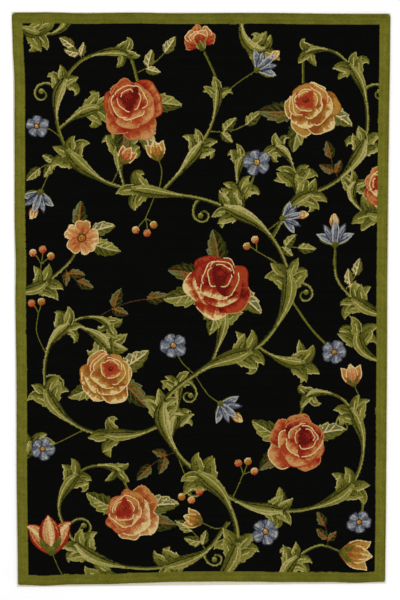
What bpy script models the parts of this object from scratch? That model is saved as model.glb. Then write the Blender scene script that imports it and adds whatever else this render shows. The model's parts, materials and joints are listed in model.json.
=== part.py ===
"""Hooked rug, 3 ft 9 in by 5 ft 9 in, lying face up on the floor.

The rug is two cloths. The hooked cloth is a cotton canvas with wool loops pulled up through it, so its
canvas and its pile are one solid, with a rounded shoulder where the outer loops lean out. The backing
cloth is bonded under it and shows as a pale ledge round the pile, widest along the foot of the rug.
Both are flat, and both keep the slightly bowed edges of a rug that is made and trimmed by hand.

Frame: metres, +Z up, +Y towards the head of the rug, and the origin on the floor, under the middle of
the part.
"""

import math
from collections import namedtuple

import bmesh
import bpy

# Driving sizes
PILE_WIDTH = 1.143
PILE_LENGTH = 1.753
BACKING_THICKNESS = 0.0015
CANVAS_THICKNESS = 0.0012
LOOP_HEIGHT = 0.0062
CLOTH_GAP = 0.0003

# Rims and corners
PILE_SHOULDER = 0.0034
CANVAS_ROUNDING = 0.0010
BACKING_CORNER = 0.0015
BACKING_ROUNDING = 0.0004
SHOULDER_STEPS = 3
CORNER_STEPS = 5
EDGE_STEP = 0.020
FLAT_ANGLE = math.radians(20)
COPLANAR = math.radians(0.05)
WELD = 0.00005

# Unevenness of the pile's edges: how far out the edge lies at a place along its side
Bow = namedtuple("Bow", "along out")
LEFT_BOWS = [
    Bow(-0.80, 0.0000),
    Bow(-0.56, 0.0011),
    Bow(-0.25, -0.0007),
    Bow(0.00, 0.0004),
    Bow(0.12, -0.0016),
    Bow(0.24, 0.0006),
    Bow(0.49, -0.0011),
    Bow(0.67, -0.0021),
    Bow(0.79, 0.0021),
    Bow(0.86, 0.0040),
]
RIGHT_BOWS = [
    Bow(-0.80, 0.0002),
    Bow(-0.68, 0.0009),
    Bow(-0.43, 0.0005),
    Bow(-0.19, 0.0000),
    Bow(0.06, -0.0014),
    Bow(0.36, -0.0011),
    Bow(0.55, -0.0002),
    Bow(0.73, 0.0011),
    Bow(0.86, 0.0012),
]
HEAD_BOWS = [
    Bow(-0.55, 0.0000),
    Bow(-0.46, 0.0008),
    Bow(-0.37, -0.0013),
    Bow(-0.19, 0.0009),
    Bow(-0.10, -0.0005),
    Bow(0.18, 0.0013),
    Bow(0.41, -0.0006),
    Bow(0.55, -0.0004),
]
FOOT_BOWS = [
    Bow(-0.55, 0.0013),
    Bow(-0.49, 0.0044),
    Bow(-0.41, 0.0012),
    Bow(-0.28, 0.0008),
    Bow(-0.19, -0.0017),
    Bow(-0.08, -0.0042),
    Bow(0.05, -0.0040),
    Bow(0.14, -0.0025),
    Bow(0.27, 0.0000),
    Bow(0.40, 0.0010),
    Bow(0.48, 0.0044),
    Bow(0.55, 0.0019),
]

# One row for each side. The slope makes the left edge longer than the right one. The ledge is how far the
# backing reaches past the pile, and follows is how much of the pile's unevenness it shares.
Side = namedtuple("Side", "outwards half slope bows ledge follows")
LEFT = Side(-1, PILE_WIDTH / 2, 0.0, LEFT_BOWS, 0.0035, 0.5)
RIGHT = Side(1, PILE_WIDTH / 2, 0.0, RIGHT_BOWS, 0.0025, 0.5)
HEAD = Side(1, PILE_LENGTH / 2, -0.0035, HEAD_BOWS, 0.0025, 0.5)
FOOT = Side(-1, PILE_LENGTH / 2, 0.0095, FOOT_BOWS, 0.0080, 0.0)

# Going round the rug: the upright side and the level side that meet at each corner, the angle at which
# the corner's arc begins, and how round the pile is there
Corner = namedtuple("Corner", "upright level begins rounding")
CORNERS = [
    Corner(LEFT, FOOT, math.radians(180), 0.0070),
    Corner(RIGHT, FOOT, math.radians(270), 0.0070),
    Corner(RIGHT, HEAD, math.radians(0), 0.0105),
    Corner(LEFT, HEAD, math.radians(90), 0.0130),
]

# Heights, worked out from the thicknesses
CANVAS_LOW = BACKING_THICKNESS + CLOTH_GAP
PILE_TOP = CANVAS_LOW + CANVAS_THICKNESS + LOOP_HEIGHT

WOOL_OLIVE = (0.125, 0.120, 0.016)
COTTON_CREAM = (0.680, 0.640, 0.520)


def clear_scene():
    """Removes whatever the scene holds."""
    for old in list(bpy.data.objects):
        bpy.data.objects.remove(old)


def collection_for(name):
    """A collection of that name, in the scene."""
    made = bpy.data.collections.new(name)
    bpy.context.scene.collection.children.link(made)
    return made


def yarn_material(name, colour, roughness):
    """A matt Principled material in one yarn colour."""
    made = bpy.data.materials.new(name)
    made.use_nodes = True
    shader = made.node_tree.nodes["Principled BSDF"]
    shader.inputs["Base Color"].default_value = (*colour, 1.0)
    shader.inputs["Roughness"].default_value = roughness
    shader.inputs["Metallic"].default_value = 0.0
    return made


def bow_at(bows, along):
    """How far out the edge lies at that place, eased between the rows of its table."""
    if along <= bows[0].along:
        return bows[0].out
    for near, far in zip(bows, bows[1:]):
        if along <= far.along:
            share = (along - near.along) / (far.along - near.along)
            eased = share * share * (3 - 2 * share)
            return near.out + (far.out - near.out) * eased
    return bows[-1].out


def edge_at(side, along, backing):
    """The place of a side's edge, across the side, at a place along it."""
    bow = bow_at(side.bows, along)
    reach = bow * side.follows + side.ledge if backing else bow
    return side.outwards * (side.half + reach) + side.slope * along


def rounding_of(corner, backing):
    """The radius of a cloth's corner."""
    return BACKING_CORNER if backing else corner.rounding


def corner_centre(corner, backing):
    """The centre of a corner's arc, inside both of the edges that meet there."""
    radius = rounding_of(corner, backing)
    x = corner.upright.outwards * corner.upright.half
    y = corner.level.outwards * corner.level.half
    for _ in range(2):  # each edge leans a little, so the second pass settles it
        x_edge = edge_at(corner.upright, y, backing)
        y_edge = edge_at(corner.level, x, backing)
        x = x_edge - corner.upright.outwards * radius
        y = y_edge - corner.level.outwards * radius
    return x, y


def arc_points(centre, radius, begins):
    """A quarter turn, counterclockwise."""
    turns = [begins + math.radians(90) * i / CORNER_STEPS for i in range(CORNER_STEPS + 1)]
    return [(centre[0] + radius * math.cos(a), centre[1] + radius * math.sin(a)) for a in turns]


def run_points(side, start, end, level, backing):
    """The points between two corners along one side, without its ends."""
    pieces = max(2, round(abs(end - start) / EDGE_STEP))
    places = [start + (end - start) * i / pieces for i in range(1, pieces)]
    if level:
        return [(place, edge_at(side, place, backing)) for place in places]
    return [(edge_at(side, place, backing), place) for place in places]


def outline(backing):
    """The cloth's outline, counterclockwise from its left foot corner."""
    points = []
    for i, corner in enumerate(CORNERS):
        after = CORNERS[(i + 1) % len(CORNERS)]
        here = corner_centre(corner, backing)
        there = corner_centre(after, backing)
        points += arc_points(here, rounding_of(corner, backing), corner.begins)
        level = corner.level is after.level
        side = corner.level if level else corner.upright
        axis = 0 if level else 1
        points += run_points(side, here[axis], there[axis], level, backing)
    return points


def middle_of(outlines):
    """The middle of the box round all the outlines."""
    xs = [x for points in outlines for x, _ in points]
    ys = [y for points in outlines for _, y in points]
    return (min(xs) + max(xs)) / 2, (min(ys) + max(ys)) / 2


def flat_curve(name, points, low, high):
    """The outline as a filled 2D curve, as thick as the cloth."""
    data = bpy.data.curves.new(name + "_outline", "CURVE")
    data.dimensions = "2D"
    data.fill_mode = "BOTH"
    data.extrude = (high - low) / 2
    spline = data.splines.new("POLY")
    spline.points.add(len(points) - 1)
    for place, (x, y) in zip(spline.points, points):
        place.co = (x, y, 0.0, 1.0)
    spline.use_cyclic_u = True
    made = bpy.data.objects.new(name + "_outline", data)
    bpy.context.scene.collection.objects.link(made)
    made.location.z = (low + high) / 2
    bpy.context.view_layer.update()
    return made


def flatten_caps(bm):
    """Merges each cap's triangles into one flat face."""
    inner = [edge for edge in bm.edges if edge.is_manifold and edge.calc_face_angle() < COPLANAR]
    bmesh.ops.dissolve_edges(bm, edges=inner, use_verts=False)


def weigh_rims(bm, lower_share):
    """Marks the rims for the bevel: the upper one in full, and the lower one by its share."""
    weight = bm.edges.layers.float.new("bevel_weight_edge")
    for edge in bm.edges:
        heights = [v.co.z for v in edge.verts]
        is_level = abs(heights[0] - heights[1]) < WELD
        if is_level and edge.calc_face_angle() > FLAT_ANGLE:
            edge[weight] = 1.0 if heights[0] > 0 else lower_share


def cloth_solid(name, points, heights, roundings, material, collection):
    """A flat cloth with rounded rims, made from its outline."""
    low, high = heights
    upper, lower = roundings
    curve = flat_curve(name, points, low, high)
    graph = bpy.context.evaluated_depsgraph_get()
    mesh = bpy.data.meshes.new_from_object(curve.evaluated_get(graph))
    made = bpy.data.objects.new(name, mesh)
    made.matrix_world = curve.matrix_world
    bpy.data.objects.remove(curve)
    collection.objects.link(made)
    bm = bmesh.new()
    bm.from_mesh(mesh)
    bmesh.ops.remove_doubles(bm, verts=bm.verts, dist=WELD)
    bmesh.ops.recalc_face_normals(bm, faces=bm.faces)
    flatten_caps(bm)
    weigh_rims(bm, lower / upper)
    bm.to_mesh(mesh)
    bm.free()
    mesh.materials.clear()
    mesh.materials.append(material)
    mesh.shade_smooth()
    mesh.set_sharp_from_angle(angle=FLAT_ANGLE)
    bevel = made.modifiers.new("rounded_rims", "BEVEL")
    bevel.limit_method = "WEIGHT"
    bevel.width = upper
    bevel.segments = SHOULDER_STEPS
    return made


def main():
    """Builds the two cloths, one on the other."""
    clear_scene()
    rug = collection_for("hooked_rug")
    pile_edge = outline(backing=False)
    backing_edge = outline(backing=True)
    x_mid, y_mid = middle_of([pile_edge, backing_edge])
    pile_edge, backing_edge = (
        [(x - x_mid, y - y_mid) for x, y in points] for points in (pile_edge, backing_edge)
    )
    cloth_solid(
        "hooked_cloth",
        pile_edge,
        (CANVAS_LOW, PILE_TOP),
        (PILE_SHOULDER, CANVAS_ROUNDING),
        yarn_material("wool_pile", WOOL_OLIVE, 0.95),
        rug,
    )
    cloth_solid(
        "backing_cloth",
        backing_edge,
        (0.0, BACKING_THICKNESS),
        (BACKING_ROUNDING, BACKING_ROUNDING),
        yarn_material("cotton_backing", COTTON_CREAM, 0.90),
        rug,
    )


main()
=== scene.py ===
"""The hooked rug as it looks: wool loops pulled up through a canvas, over a woven cotton backing.

Every loop is real geometry. The design is a list of patches, each the outline of one area of a petal, leaf
or stem with the yarns that it is hooked in. Hooking then places the loops in rows as a maker does: twice
round the edge of the rug, along the rim of each patch and inwards, round the border, straight across the
black ground, and last wherever a gap is left. A Geometry Nodes tree sets a bead of yarn on each place, and
the material adds ply and fibre, with painted shade in the grooves between the plies and towards the foot
of each bead.

Frame: metres, +Z up, +Y towards the head of the rug, and the origin on the floor under its middle.
"""

import json
import logging
import math
from dataclasses import dataclass, replace
from enum import Enum
from typing import Callable, Iterator

import bpy
import numpy as np
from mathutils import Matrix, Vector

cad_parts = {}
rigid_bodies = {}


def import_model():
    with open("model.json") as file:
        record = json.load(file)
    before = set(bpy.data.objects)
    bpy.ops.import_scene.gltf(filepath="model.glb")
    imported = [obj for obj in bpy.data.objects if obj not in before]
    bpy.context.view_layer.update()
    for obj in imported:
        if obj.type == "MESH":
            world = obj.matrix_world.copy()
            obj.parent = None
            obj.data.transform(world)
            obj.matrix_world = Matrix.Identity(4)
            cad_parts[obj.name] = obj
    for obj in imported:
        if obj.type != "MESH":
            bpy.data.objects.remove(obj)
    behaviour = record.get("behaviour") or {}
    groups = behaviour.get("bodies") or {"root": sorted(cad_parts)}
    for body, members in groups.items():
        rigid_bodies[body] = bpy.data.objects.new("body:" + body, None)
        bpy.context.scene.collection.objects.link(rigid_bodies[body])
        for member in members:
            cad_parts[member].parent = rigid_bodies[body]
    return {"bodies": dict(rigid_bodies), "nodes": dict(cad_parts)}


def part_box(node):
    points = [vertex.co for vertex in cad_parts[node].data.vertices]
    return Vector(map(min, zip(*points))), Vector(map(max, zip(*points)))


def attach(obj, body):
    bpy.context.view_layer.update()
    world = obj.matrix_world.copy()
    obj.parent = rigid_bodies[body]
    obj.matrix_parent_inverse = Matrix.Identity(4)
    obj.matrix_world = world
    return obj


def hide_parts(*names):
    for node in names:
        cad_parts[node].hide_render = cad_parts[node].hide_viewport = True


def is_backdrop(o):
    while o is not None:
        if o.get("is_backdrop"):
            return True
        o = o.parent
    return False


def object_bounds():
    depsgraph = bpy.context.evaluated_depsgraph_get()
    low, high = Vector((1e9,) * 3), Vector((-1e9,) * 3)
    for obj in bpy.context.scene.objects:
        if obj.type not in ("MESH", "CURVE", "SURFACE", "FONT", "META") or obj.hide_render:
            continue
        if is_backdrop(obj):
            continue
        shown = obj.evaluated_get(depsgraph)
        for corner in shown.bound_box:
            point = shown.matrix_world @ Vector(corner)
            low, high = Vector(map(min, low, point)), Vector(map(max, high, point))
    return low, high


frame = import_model()
for spare in set(bpy.context.scene.objects) - set(frame["bodies"].values()) - set(frame["nodes"].values()):
    bpy.data.objects.remove(spare)
CAD_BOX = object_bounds()

LOG = logging.getLogger("hooked_rug")

# Heights, from the floor up. The canvas is the foundation that the loops are hooked through.
BACKING_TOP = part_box("backing_cloth")[1].z
CANVAS_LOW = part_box("hooked_cloth")[0].z
CANVAS_TOP = CANVAS_LOW + 0.0012
PILE_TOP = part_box("hooked_cloth")[1].z
BACKING_RIM = 0.0004
CANVAS_RIM = 0.0010

# The gauge of the hooking
ROW = 0.0036
STITCH = 0.00415
CLOSEST = 0.0025
CELL = 0.0005
BORDER_WIDTH = 0.0320
LOOP_MARGIN = 0.0009
MOST_LOOPS = 30000

LINE_STEP = 0.002  # between the points of a drawn line
PER_KNOT = 14  # points of a smooth line for each place of its route
TIP = 0.0005  # the half width of a pointed tip

Array = np.ndarray
Points = np.ndarray
Place = tuple[float, float]


# Yarns


class Yarn(Enum):
    """The yarns on the maker's shelf, as sRGB colours."""

    INK = (10, 10, 9)
    BORDER = (109, 107, 34)
    SHADOW = (36, 36, 14)
    PINE = (54, 56, 20)
    OLIVE = (80, 78, 24)
    MOSS = (99, 97, 32)
    LEAF = (119, 116, 46)
    PALE = (146, 140, 74)
    STRAW = (174, 163, 104)
    SAGE = (104, 106, 66)
    BARK = (66, 46, 26)
    RUST = (140, 74, 30)
    WINE = (98, 22, 16)
    RED = (136, 36, 22)
    BRICK = (154, 58, 30)
    CORAL = (166, 82, 42)
    PEACH = (178, 119, 66)
    GOLD = (168, 123, 51)
    HONEY = (148, 96, 33)
    CREAM = (208, 184, 128)
    BLUSH = (190, 138, 86)
    SLATE = (54, 57, 66)
    BLUE = (82, 86, 98)
    MIST = (119, 122, 128)
    ICE = (163, 162, 153)

    @property
    def linear(self) -> Array:
        """The colour as linear light."""
        share = np.array(self.value, float) / 255
        return np.where(share <= 0.04045, share / 12.92, ((share + 0.055) / 1.055) ** 2.4)


def skeins(names: str) -> tuple[Yarn, ...]:
    """The yarns of these names, from dark to light."""
    return tuple(Yarn[name] for name in names.split())


BODY_GREENS = skeins("PINE OLIVE MOSS LEAF LEAF PALE")
BRIGHT_GREENS = skeins("SHADOW OLIVE MOSS LEAF PALE STRAW")
STEM_GREENS = skeins("PINE OLIVE MOSS LEAF")
KNOB_GREENS = skeins("OLIVE MOSS LEAF STRAW")
BLUES = skeins("SLATE BLUE MIST ICE")
HEART_GOLDS = skeins("RUST GOLD CREAM")
ROSE_GOLDS = skeins("RUST HONEY GOLD")
RIM = Yarn.CREAM


class Kind(Enum):
    """What a loop is part of, which decides the piece that it goes into."""

    GROUND = "ground"
    BORDER = "border"
    LEAVES = "leaf"
    BLOOMS = "bloom"
    BLUES = "blue_flower"


class LeafColour(Enum):
    """How saw-edged leaves are coloured: the yarns of the lit half / of the shaded half / of the veins."""

    FRESH = "OLIVE MOSS LEAF PALE / SHADOW PINE OLIVE / STRAW"
    DUSKY = "PINE OLIVE SAGE / SHADOW SHADOW PINE / RUST"
    SILVER = "OLIVE SAGE SAGE STRAW / PINE OLIVE MOSS / CREAM"

    def __init__(self, names: str) -> None:
        """Finds its yarns."""
        self.lit, self.shaded, (self.vein,) = map(skeins, names.split("/"))


class BloomColour(Enum):
    """How warm flowers are coloured: lit petals / half-lit ones / deep ones / their rim / the heart."""

    CORAL = "BRICK CORAL PEACH BLUSH / RED BRICK CORAL PEACH / WINE RED BRICK CORAL / PEACH / WINE RED"
    GOLDEN = "RUST HONEY GOLD CREAM / RUST HONEY GOLD GOLD / BRICK CORAL PEACH GOLD / CREAM / WINE BRICK"
    CRIMSON = "RED BRICK PEACH CREAM / WINE RED BRICK BRICK / WINE RED RED BRICK / PEACH / WINE RED"
    PEACHY = "CORAL PEACH BLUSH CREAM / RUST CORAL PEACH GOLD / RED BRICK CORAL PEACH / BLUSH / WINE BRICK"

    def __init__(self, names: str) -> None:
        """Finds its yarns."""
        self.lit, self.half, self.deep, (self.deep_rim,), self.heart = map(skeins, names.split("/"))


# Lines


def unit(angle: float | Array) -> Array:
    """The unit vectors at these angles, in radians."""
    return np.stack([np.cos(angle), np.sin(angle)], axis=-1)


def angles(directions: Array) -> Array:
    """The angles of directions, in radians."""
    return np.arctan2(directions[..., 1], directions[..., 0])


def heading_of(direction: Array) -> float:
    """The heading of one direction, in degrees."""
    return math.degrees(math.atan2(direction[1], direction[0]))


def towards(at: Place, heading: float, distance: float) -> Array:
    """The point at a distance from a place, at a heading in degrees."""
    return at + unit(math.radians(heading)) * distance


def left_of(directions: Array) -> Array:
    """The directions turned a quarter to the left."""
    return np.stack([-directions[..., 1], directions[..., 0]], axis=-1)


def to_unit(steps: Array) -> Array:
    """The steps, each made 1 long."""
    return steps / np.maximum(np.hypot(*steps.T)[:, None], 1e-9)


def tangents(line: Points) -> Array:
    """The direction of a line at each of its points."""
    return to_unit(np.gradient(line, axis=0))


def shares(line: Array) -> Array:
    """The share along a line of each of its points."""
    return np.linspace(0, 1, len(line))


def lengths(line: Points) -> Array:
    """The length of a line up to each of its points."""
    return np.concatenate([[0], np.cumsum(np.hypot(*np.diff(line, axis=0).T))])


def resample(line: Points, step: float) -> Points:
    """Spaces a line's points evenly, and keeps its two ends.

    Args:
        line: the points of an open line.
        step: the distance wanted between them.

    Returns:
        The new points.
    """
    length = lengths(line)
    count = max(2, int(round(length[-1] / step)) + 1)
    at = np.linspace(0, length[-1], count)
    return np.stack([np.interp(at, length, line[:, axis]) for axis in (0, 1)], axis=1)


def resample_ring(outline: Points, step: float) -> Points:
    """Spaces a closed outline's points evenly."""
    return resample(np.vstack([outline, outline[:1]]), step)[:-1]


def ring_steps(outline: Points) -> Array:
    """The step from the point before to the point after each point of a closed outline."""
    return np.roll(outline, -1, axis=0) - np.roll(outline, 1, axis=0)


def inset(outline: Points, by: float | Array) -> Points:
    """A closed counterclockwise outline moved inwards."""
    return outline + left_of(to_unit(ring_steps(outline))) * np.reshape(by, (-1, 1))


def smooth(route: list[Place]) -> Points:
    """A smooth line through the places of a route.

    Args:
        route: the places, in order.

    Returns:
        The points of the line.
    """
    places = np.array(route)
    ends = np.vstack([2 * places[0] - places[1], places, 2 * places[-1] - places[-2]])
    t = np.linspace(0, 1, PER_KNOT, endpoint=False)[:, None]
    runs = [
        0.5 * (2 * b + (c - a) * t + (2 * a - 5 * b + 4 * c - d) * t**2 + (3 * b - a - 3 * c + d) * t**3)
        for a, b, c, d in zip(ends, ends[1:], ends[2:], ends[3:])
    ]
    return np.vstack(runs + [places[-1:]])


def sweep(at: Place, heading: float, length: float, bend: float = 0.0, curl: float = 0.0) -> Points:
    """A line that leaves a place at a heading, bends evenly and curls towards its end.

    Args:
        at: where it starts.
        heading: its first direction, in degrees.
        length: its length.
        bend: how far it turns evenly, in degrees, to the left if positive.
        curl: how much further it turns, mostly near the end.

    Returns:
        The points of the line.
    """
    count = max(6, int(length / LINE_STEP))
    q = (np.arange(count) + 0.5) / count
    steps = unit(np.radians(heading + bend * q + curl * q**3)) * (length / count)
    return np.vstack([at, at + np.cumsum(steps, axis=0)])


def nearest(points: Points, starts: Points, ends: Points) -> tuple[Array, Array, Array]:
    """Finds the nearest of some straight pieces of line to each point.

    Args:
        points: the points.
        starts: where each piece of line starts.
        ends: where each piece of line ends.

    Returns:
        The distance, the index of the nearest piece, and how far along that piece its nearest point is.
    """
    run = ends - starts
    square = np.maximum((run**2).sum(1), 1e-12)
    found = []
    for low in range(0, len(points), 2000):
        away = points[low : low + 2000, None] - starts[None]
        share = np.clip((away * run[None]).sum(2) / square, 0, 1)
        gaps = ((away - share[..., None] * run[None]) ** 2).sum(2)
        best = gaps.argmin(1)
        rows = np.arange(len(best))
        found.append((np.sqrt(gaps[rows, best]), best, share[rows, best]))
    return tuple(np.concatenate(column) for column in zip(*found))


def depths(points: Points, outline: Points) -> Array:
    """How far points are from a closed outline."""
    return nearest(points, outline, np.roll(outline, -1, axis=0))[0]


def ease(q: Array) -> Array:
    """Rises smoothly from 0 to 1."""
    q = np.clip(q, 0, 1)
    return q * q * (3 - 2 * q)


def streaks(across: Array, along: Array) -> Array:
    """An uneven wave between -1 and 1, in long streaks."""
    wave = np.sin(across * 2.9 + np.sin(along * 3.1) * 1.2)
    wave = wave + 0.6 * np.sin(across * 6.3 + along * 1.7 + 1.1)
    return (wave + 0.4 * np.sin(across * 11.7 - along * 2.3)) / 2


def bulge(spine: Points, peak: float, at: float, tip: float = TIP, root: float = 0.0) -> Array:
    """The half widths of a form that grows from its root and narrows to its tip.

    Args:
        spine: its middle line.
        peak: its greatest half width.
        at: the share along the spine where that is.
        tip: its half width at the tip.
        root: its half width at the root.

    Returns:
        The half width at each point of the spine.
    """
    q = shares(spine)
    rise = np.where(q < at, q / at, (1 - q) / (1 - at))
    base = np.where(q < at, root, tip)
    return base + (peak - base) * np.sin(rise * np.pi / 2)


# Patches


@dataclass(frozen=True)
class Tones:
    """How yarns are laid over a patch, from dark to light."""

    yarns: tuple[Yarn, ...]
    rim: Yarn | None = None
    rim_side: int = 0  # 1 for the left side alone, -1 for the right, 0 for both
    rim_from: float = 0.0
    base: Yarn | None = None
    base_to: float = 0.0
    along: float = 0.0
    across: float = 0.0
    middle: float = 0.0
    streak: float = 0.15
    start: float = 0.0


@dataclass(frozen=True)
class Patch:
    """An area that is hooked in one set of yarns, in rows that follow its outline."""

    outline: Points
    spine: Points
    widths: Array
    tones: Tones
    kind: Kind
    seed: int = 0
    rows: int = 0  # a line so many rows wide, or 0 for an area

    def place(self, points: Points) -> tuple[Array, Array]:
        """Says where points lie on the patch.

        Args:
            points: the points.

        Returns:
            The share along the spine, and the share across from -1 on the right to 1 on the left.
        """
        starts, ends = self.spine[:-1], self.spine[1:]
        gap, piece, share = nearest(points, starts, ends)
        along = (piece + share) / len(starts)
        run, away = (ends - starts)[piece], points - starts[piece]
        side = np.sign(run[:, 0] * away[:, 1] - run[:, 1] * away[:, 0])
        width = np.interp(along, shares(self.widths), self.widths)
        return along, side * gap / np.maximum(width, 0.001)

    def colours(self, points: Points, rng: np.random.Generator) -> Array:
        """Picks a yarn for each loop.

        Args:
            points: the places of the loops.
            rng: for the maker's uneven hand.

        Returns:
            One linear colour for each loop.
        """
        tones = self.tones
        along, across = self.place(points)
        u = np.clip((along - tones.start) / (1 - tones.start), 0, 1)
        value = 0.5 + tones.along * (u - 0.5) + tones.across * across * 0.5
        value += tones.middle * (0.5 - np.abs(across))
        value += tones.streak * streaks(across * 3.1 + self.seed * 0.37, along * 1.3 + self.seed)
        value += rng.normal(0, 0.035, len(value))
        count = len(tones.yarns)
        table = np.array([yarn.linear for yarn in tones.yarns])
        colour = table[np.clip((value * count).astype(int), 0, count - 1)]
        if tones.base:
            near = along < tones.base_to * (0.7 + 0.5 * streaks(across * 4 + self.seed, along * 0))
            colour[near] = tones.base.linear
        if tones.rim:
            on_rim = (depths(points, self.outline) < ROW * 0.95) & (along > tones.rim_from)
            on_rim &= (tones.rim_side == 0) | (across * tones.rim_side > 0.1)
            colour[on_rim] = tones.rim.linear
        return colour * rng.normal(1, 0.02)


def area(
    spine: Points,
    left: Array,
    tones: Tones,
    seed: int = 0,
    kind: Kind = Kind.LEAVES,
    right: Array | None = None,
) -> Patch:
    """A patch round a spine.

    Args:
        spine: its middle line.
        left: its half widths to the left of the spine's points.
        tones: its yarns.
        seed: for its streaks.
        kind: what it is part of.
        right: its half widths to the right, if those differ.

    Returns:
        The patch.
    """
    right = left if right is None else right
    side = left_of(tangents(spine))
    outline = np.vstack([spine + side * left[:, None], (spine - side * right[:, None])[::-1]])
    return Patch(outline, spine, np.maximum(left, right), tones, kind, seed)


def blade(path: tuple, shape: tuple, tones: Tones, seed: int = 0, kind: Kind = Kind.LEAVES) -> Patch:
    """A pointed petal or sepal.

    Args:
        path: its middle line, as sweep takes it.
        shape: its half widths, as bulge takes them.
        tones: its yarns.
        seed: for its streaks.
        kind: what it is part of.

    Returns:
        The patch.
    """
    spine = sweep(*path)
    return area(spine, bulge(spine, *shape), tones, seed, kind)


def stroke(line: Points, yarn: Yarn, first: float = 0.0, last: float = 1.0, rows: int = 1) -> Patch:
    """Hooks a stretch of a line in one yarn.

    Args:
        line: the line.
        yarn: the yarn.
        first: the share along the line where the stretch starts.
        last: the share where it ends.
        rows: how many rows wide it is.

    Returns:
        The patch.
    """
    count = len(line)
    line = resample(line[int(count * first) : int(count * last)], LINE_STEP)
    return replace(area(line, np.full(len(line), rows * ROW / 2), Tones((yarn,))), rows=rows)


def blob(
    at: Place, radius: float, tones: Tones, kind: Kind = Kind.LEAVES, light: float = 115, seed: int = 0
) -> Patch:
    """A round patch.

    Args:
        at: its middle.
        radius: its radius.
        tones: its yarns.
        kind: what it is part of.
        light: the heading of its light side.
        seed: for its streaks.

    Returns:
        The patch.
    """
    outline = at + unit(np.linspace(0, 2 * np.pi, 40, endpoint=False)) * radius
    spine = resample(np.stack([towards(at, light, -radius), towards(at, light, radius)]), 0.003)
    return Patch(outline, spine, np.full(len(spine), radius), tones, kind, seed)


class Motif:
    """Anything that is hooked on the field, in three layers from the ground up."""

    def below(self) -> list[Patch]:
        """Its stems and leaves, which lie below the vines."""
        return []

    def middle(self) -> list[Patch]:
        """Its parts among the vines."""
        return []

    def above(self) -> list[Patch]:
        """Its flowers, which lie on top."""
        return []


# Leaves


@dataclass(frozen=True)
class SawLeaf:
    """A broad leaf with a saw edge, lit on one half and shaded on the other."""

    at: Place
    heading: float
    length: float
    colour: LeafColour
    seed: int
    bend: float = 12.0

    ASPECT = 0.30
    MANY_TEETH_FROM = 0.085

    @property
    def teeth(self) -> int:
        """How many teeth each side has."""
        return 4 if self.length > self.MANY_TEETH_FROM else 3

    def edge(self, q: Array, phase: float, share: float) -> Array:
        """The half widths of one side, with its teeth."""
        body = np.sin(np.pi * q**0.68) ** 0.75 * (self.length * self.ASPECT * share)
        return body * (0.84 + 0.26 * ((q * self.teeth + phase) % 1.0)) * (q < 0.985) + 0.0004

    def patches(self) -> list[Patch]:
        """Makes the two halves, the side veins and the midrib.

        Returns:
            The patches, the lowest first.
        """
        dyes = self.colour
        spine = sweep(self.at, self.heading, self.length, self.bend)
        count, q = len(spine), shares(spine)
        left, right, none = self.edge(q, 0.1, 1.0), self.edge(q, 0.6, 0.92), np.full(count, 0.0002)
        lit = Tones(dyes.lit, rim=dyes.lit[-1], rim_from=0.2, across=0.5, along=0.15, streak=0.22)
        shaded = Tones(dyes.shaded, across=-0.5, along=0.15, streak=0.22)
        made = [
            area(spine, left, lit, self.seed, right=none),
            area(spine, none, shaded, self.seed + 1, right=right),
        ]
        side = left_of(tangents(spine))
        for i in range(self.teeth - 1):
            for way, half in ((1, left), (-1, right)):
                low = int(count * (0.10 + 0.70 * i / self.teeth + 0.05 * (way < 0)))
                high = min(count - 1, int(low + count * 0.20))
                tip = spine[high] + side[high] * way * half[high] * 0.66
                made.append(stroke(np.array([spine[low], tip]), dyes.vein if way > 0 else dyes.lit[1]))
        return [*made, stroke(spine, dyes.vein, last=0.88)]


@dataclass(frozen=True)
class Spray(Motif):
    """A thin twig with two small saw-edged leaves on it and one at its end."""

    at: Place
    heading: float
    length: float
    leaf: float
    colour: LeafColour
    seed: int
    bend: float = 30.0

    def below(self) -> list[Patch]:
        """Makes the twig and its leaves.

        Returns:
            The patches, the lowest first.
        """
        line = sweep(self.at, self.heading, self.length, self.bend)
        made = [stroke(line, Yarn.BARK if self.colour is LeafColour.DUSKY else Yarn.MOSS)]
        k = int(len(line) * 0.35)
        for way in (-1, 1):
            turn = self.heading + self.bend * k / len(line) + way * 52
            size = self.leaf * 0.85 * (1 + 0.08 * way)
            made += SawLeaf(line[k + 2 * way], turn, size, self.colour, self.seed, -way * 14).patches()
        last = SawLeaf(line[-2], self.heading + self.bend, self.leaf, self.colour, self.seed + 9)
        return made + last.patches()


@dataclass(frozen=True)
class Lobe:
    """One broad pointed lobe of a scrolling leaf, which bends to its side."""

    at: Place
    heading: float
    length: float
    side: int
    turn: float
    seed: int
    yarns: tuple[Yarn, ...]
    rim: Yarn

    WIDTH_SHARE = 0.25
    NOTCH = 0.2
    VEINED_FROM = 0.04

    def patches(self) -> list[Patch]:
        """Makes the lobe, and a vein if it is long enough.

        Returns:
            The patches, the lowest first.
        """
        rng = np.random.default_rng(self.seed + 31)
        bend = self.side * self.turn
        spine = sweep(self.at, self.heading, self.length, bend, -bend * rng.uniform(-1.0, 0.5))
        half = self.length * self.WIDTH_SHARE * rng.uniform(0.88, 1.1)
        full = bulge(spine, half, 0.42, 0.0006, half * 0.8)
        notches, phase = rng.uniform(1.6, 2.4), rng.uniform(0.1, 0.4)
        q = shares(spine)
        cut = full * (1 - self.NOTCH + self.NOTCH * 1.5 * ((q * notches + phase) % 1.0) * (q < 0.93))
        left, right = (cut, full) if self.side > 0 else (full, cut)
        tones = Tones(
            self.yarns,
            rim=self.rim,
            rim_side=self.side * (self.seed % 4 > 0),
            rim_from=0.25,
            across=0.8 * self.side,
            along=0.45,
            streak=0.16,
            base=Yarn.SHADOW if self.seed % 3 else Yarn.BARK,
            base_to=0.14 if self.seed % 3 else 0.20,
        )
        made = [area(spine, left, tones, self.seed, right=right)]
        if self.length > self.VEINED_FROM:
            made.append(stroke(spine, Yarn.PINE if self.seed % 2 else Yarn.STRAW, 0.12, 0.66))
        return made


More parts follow.
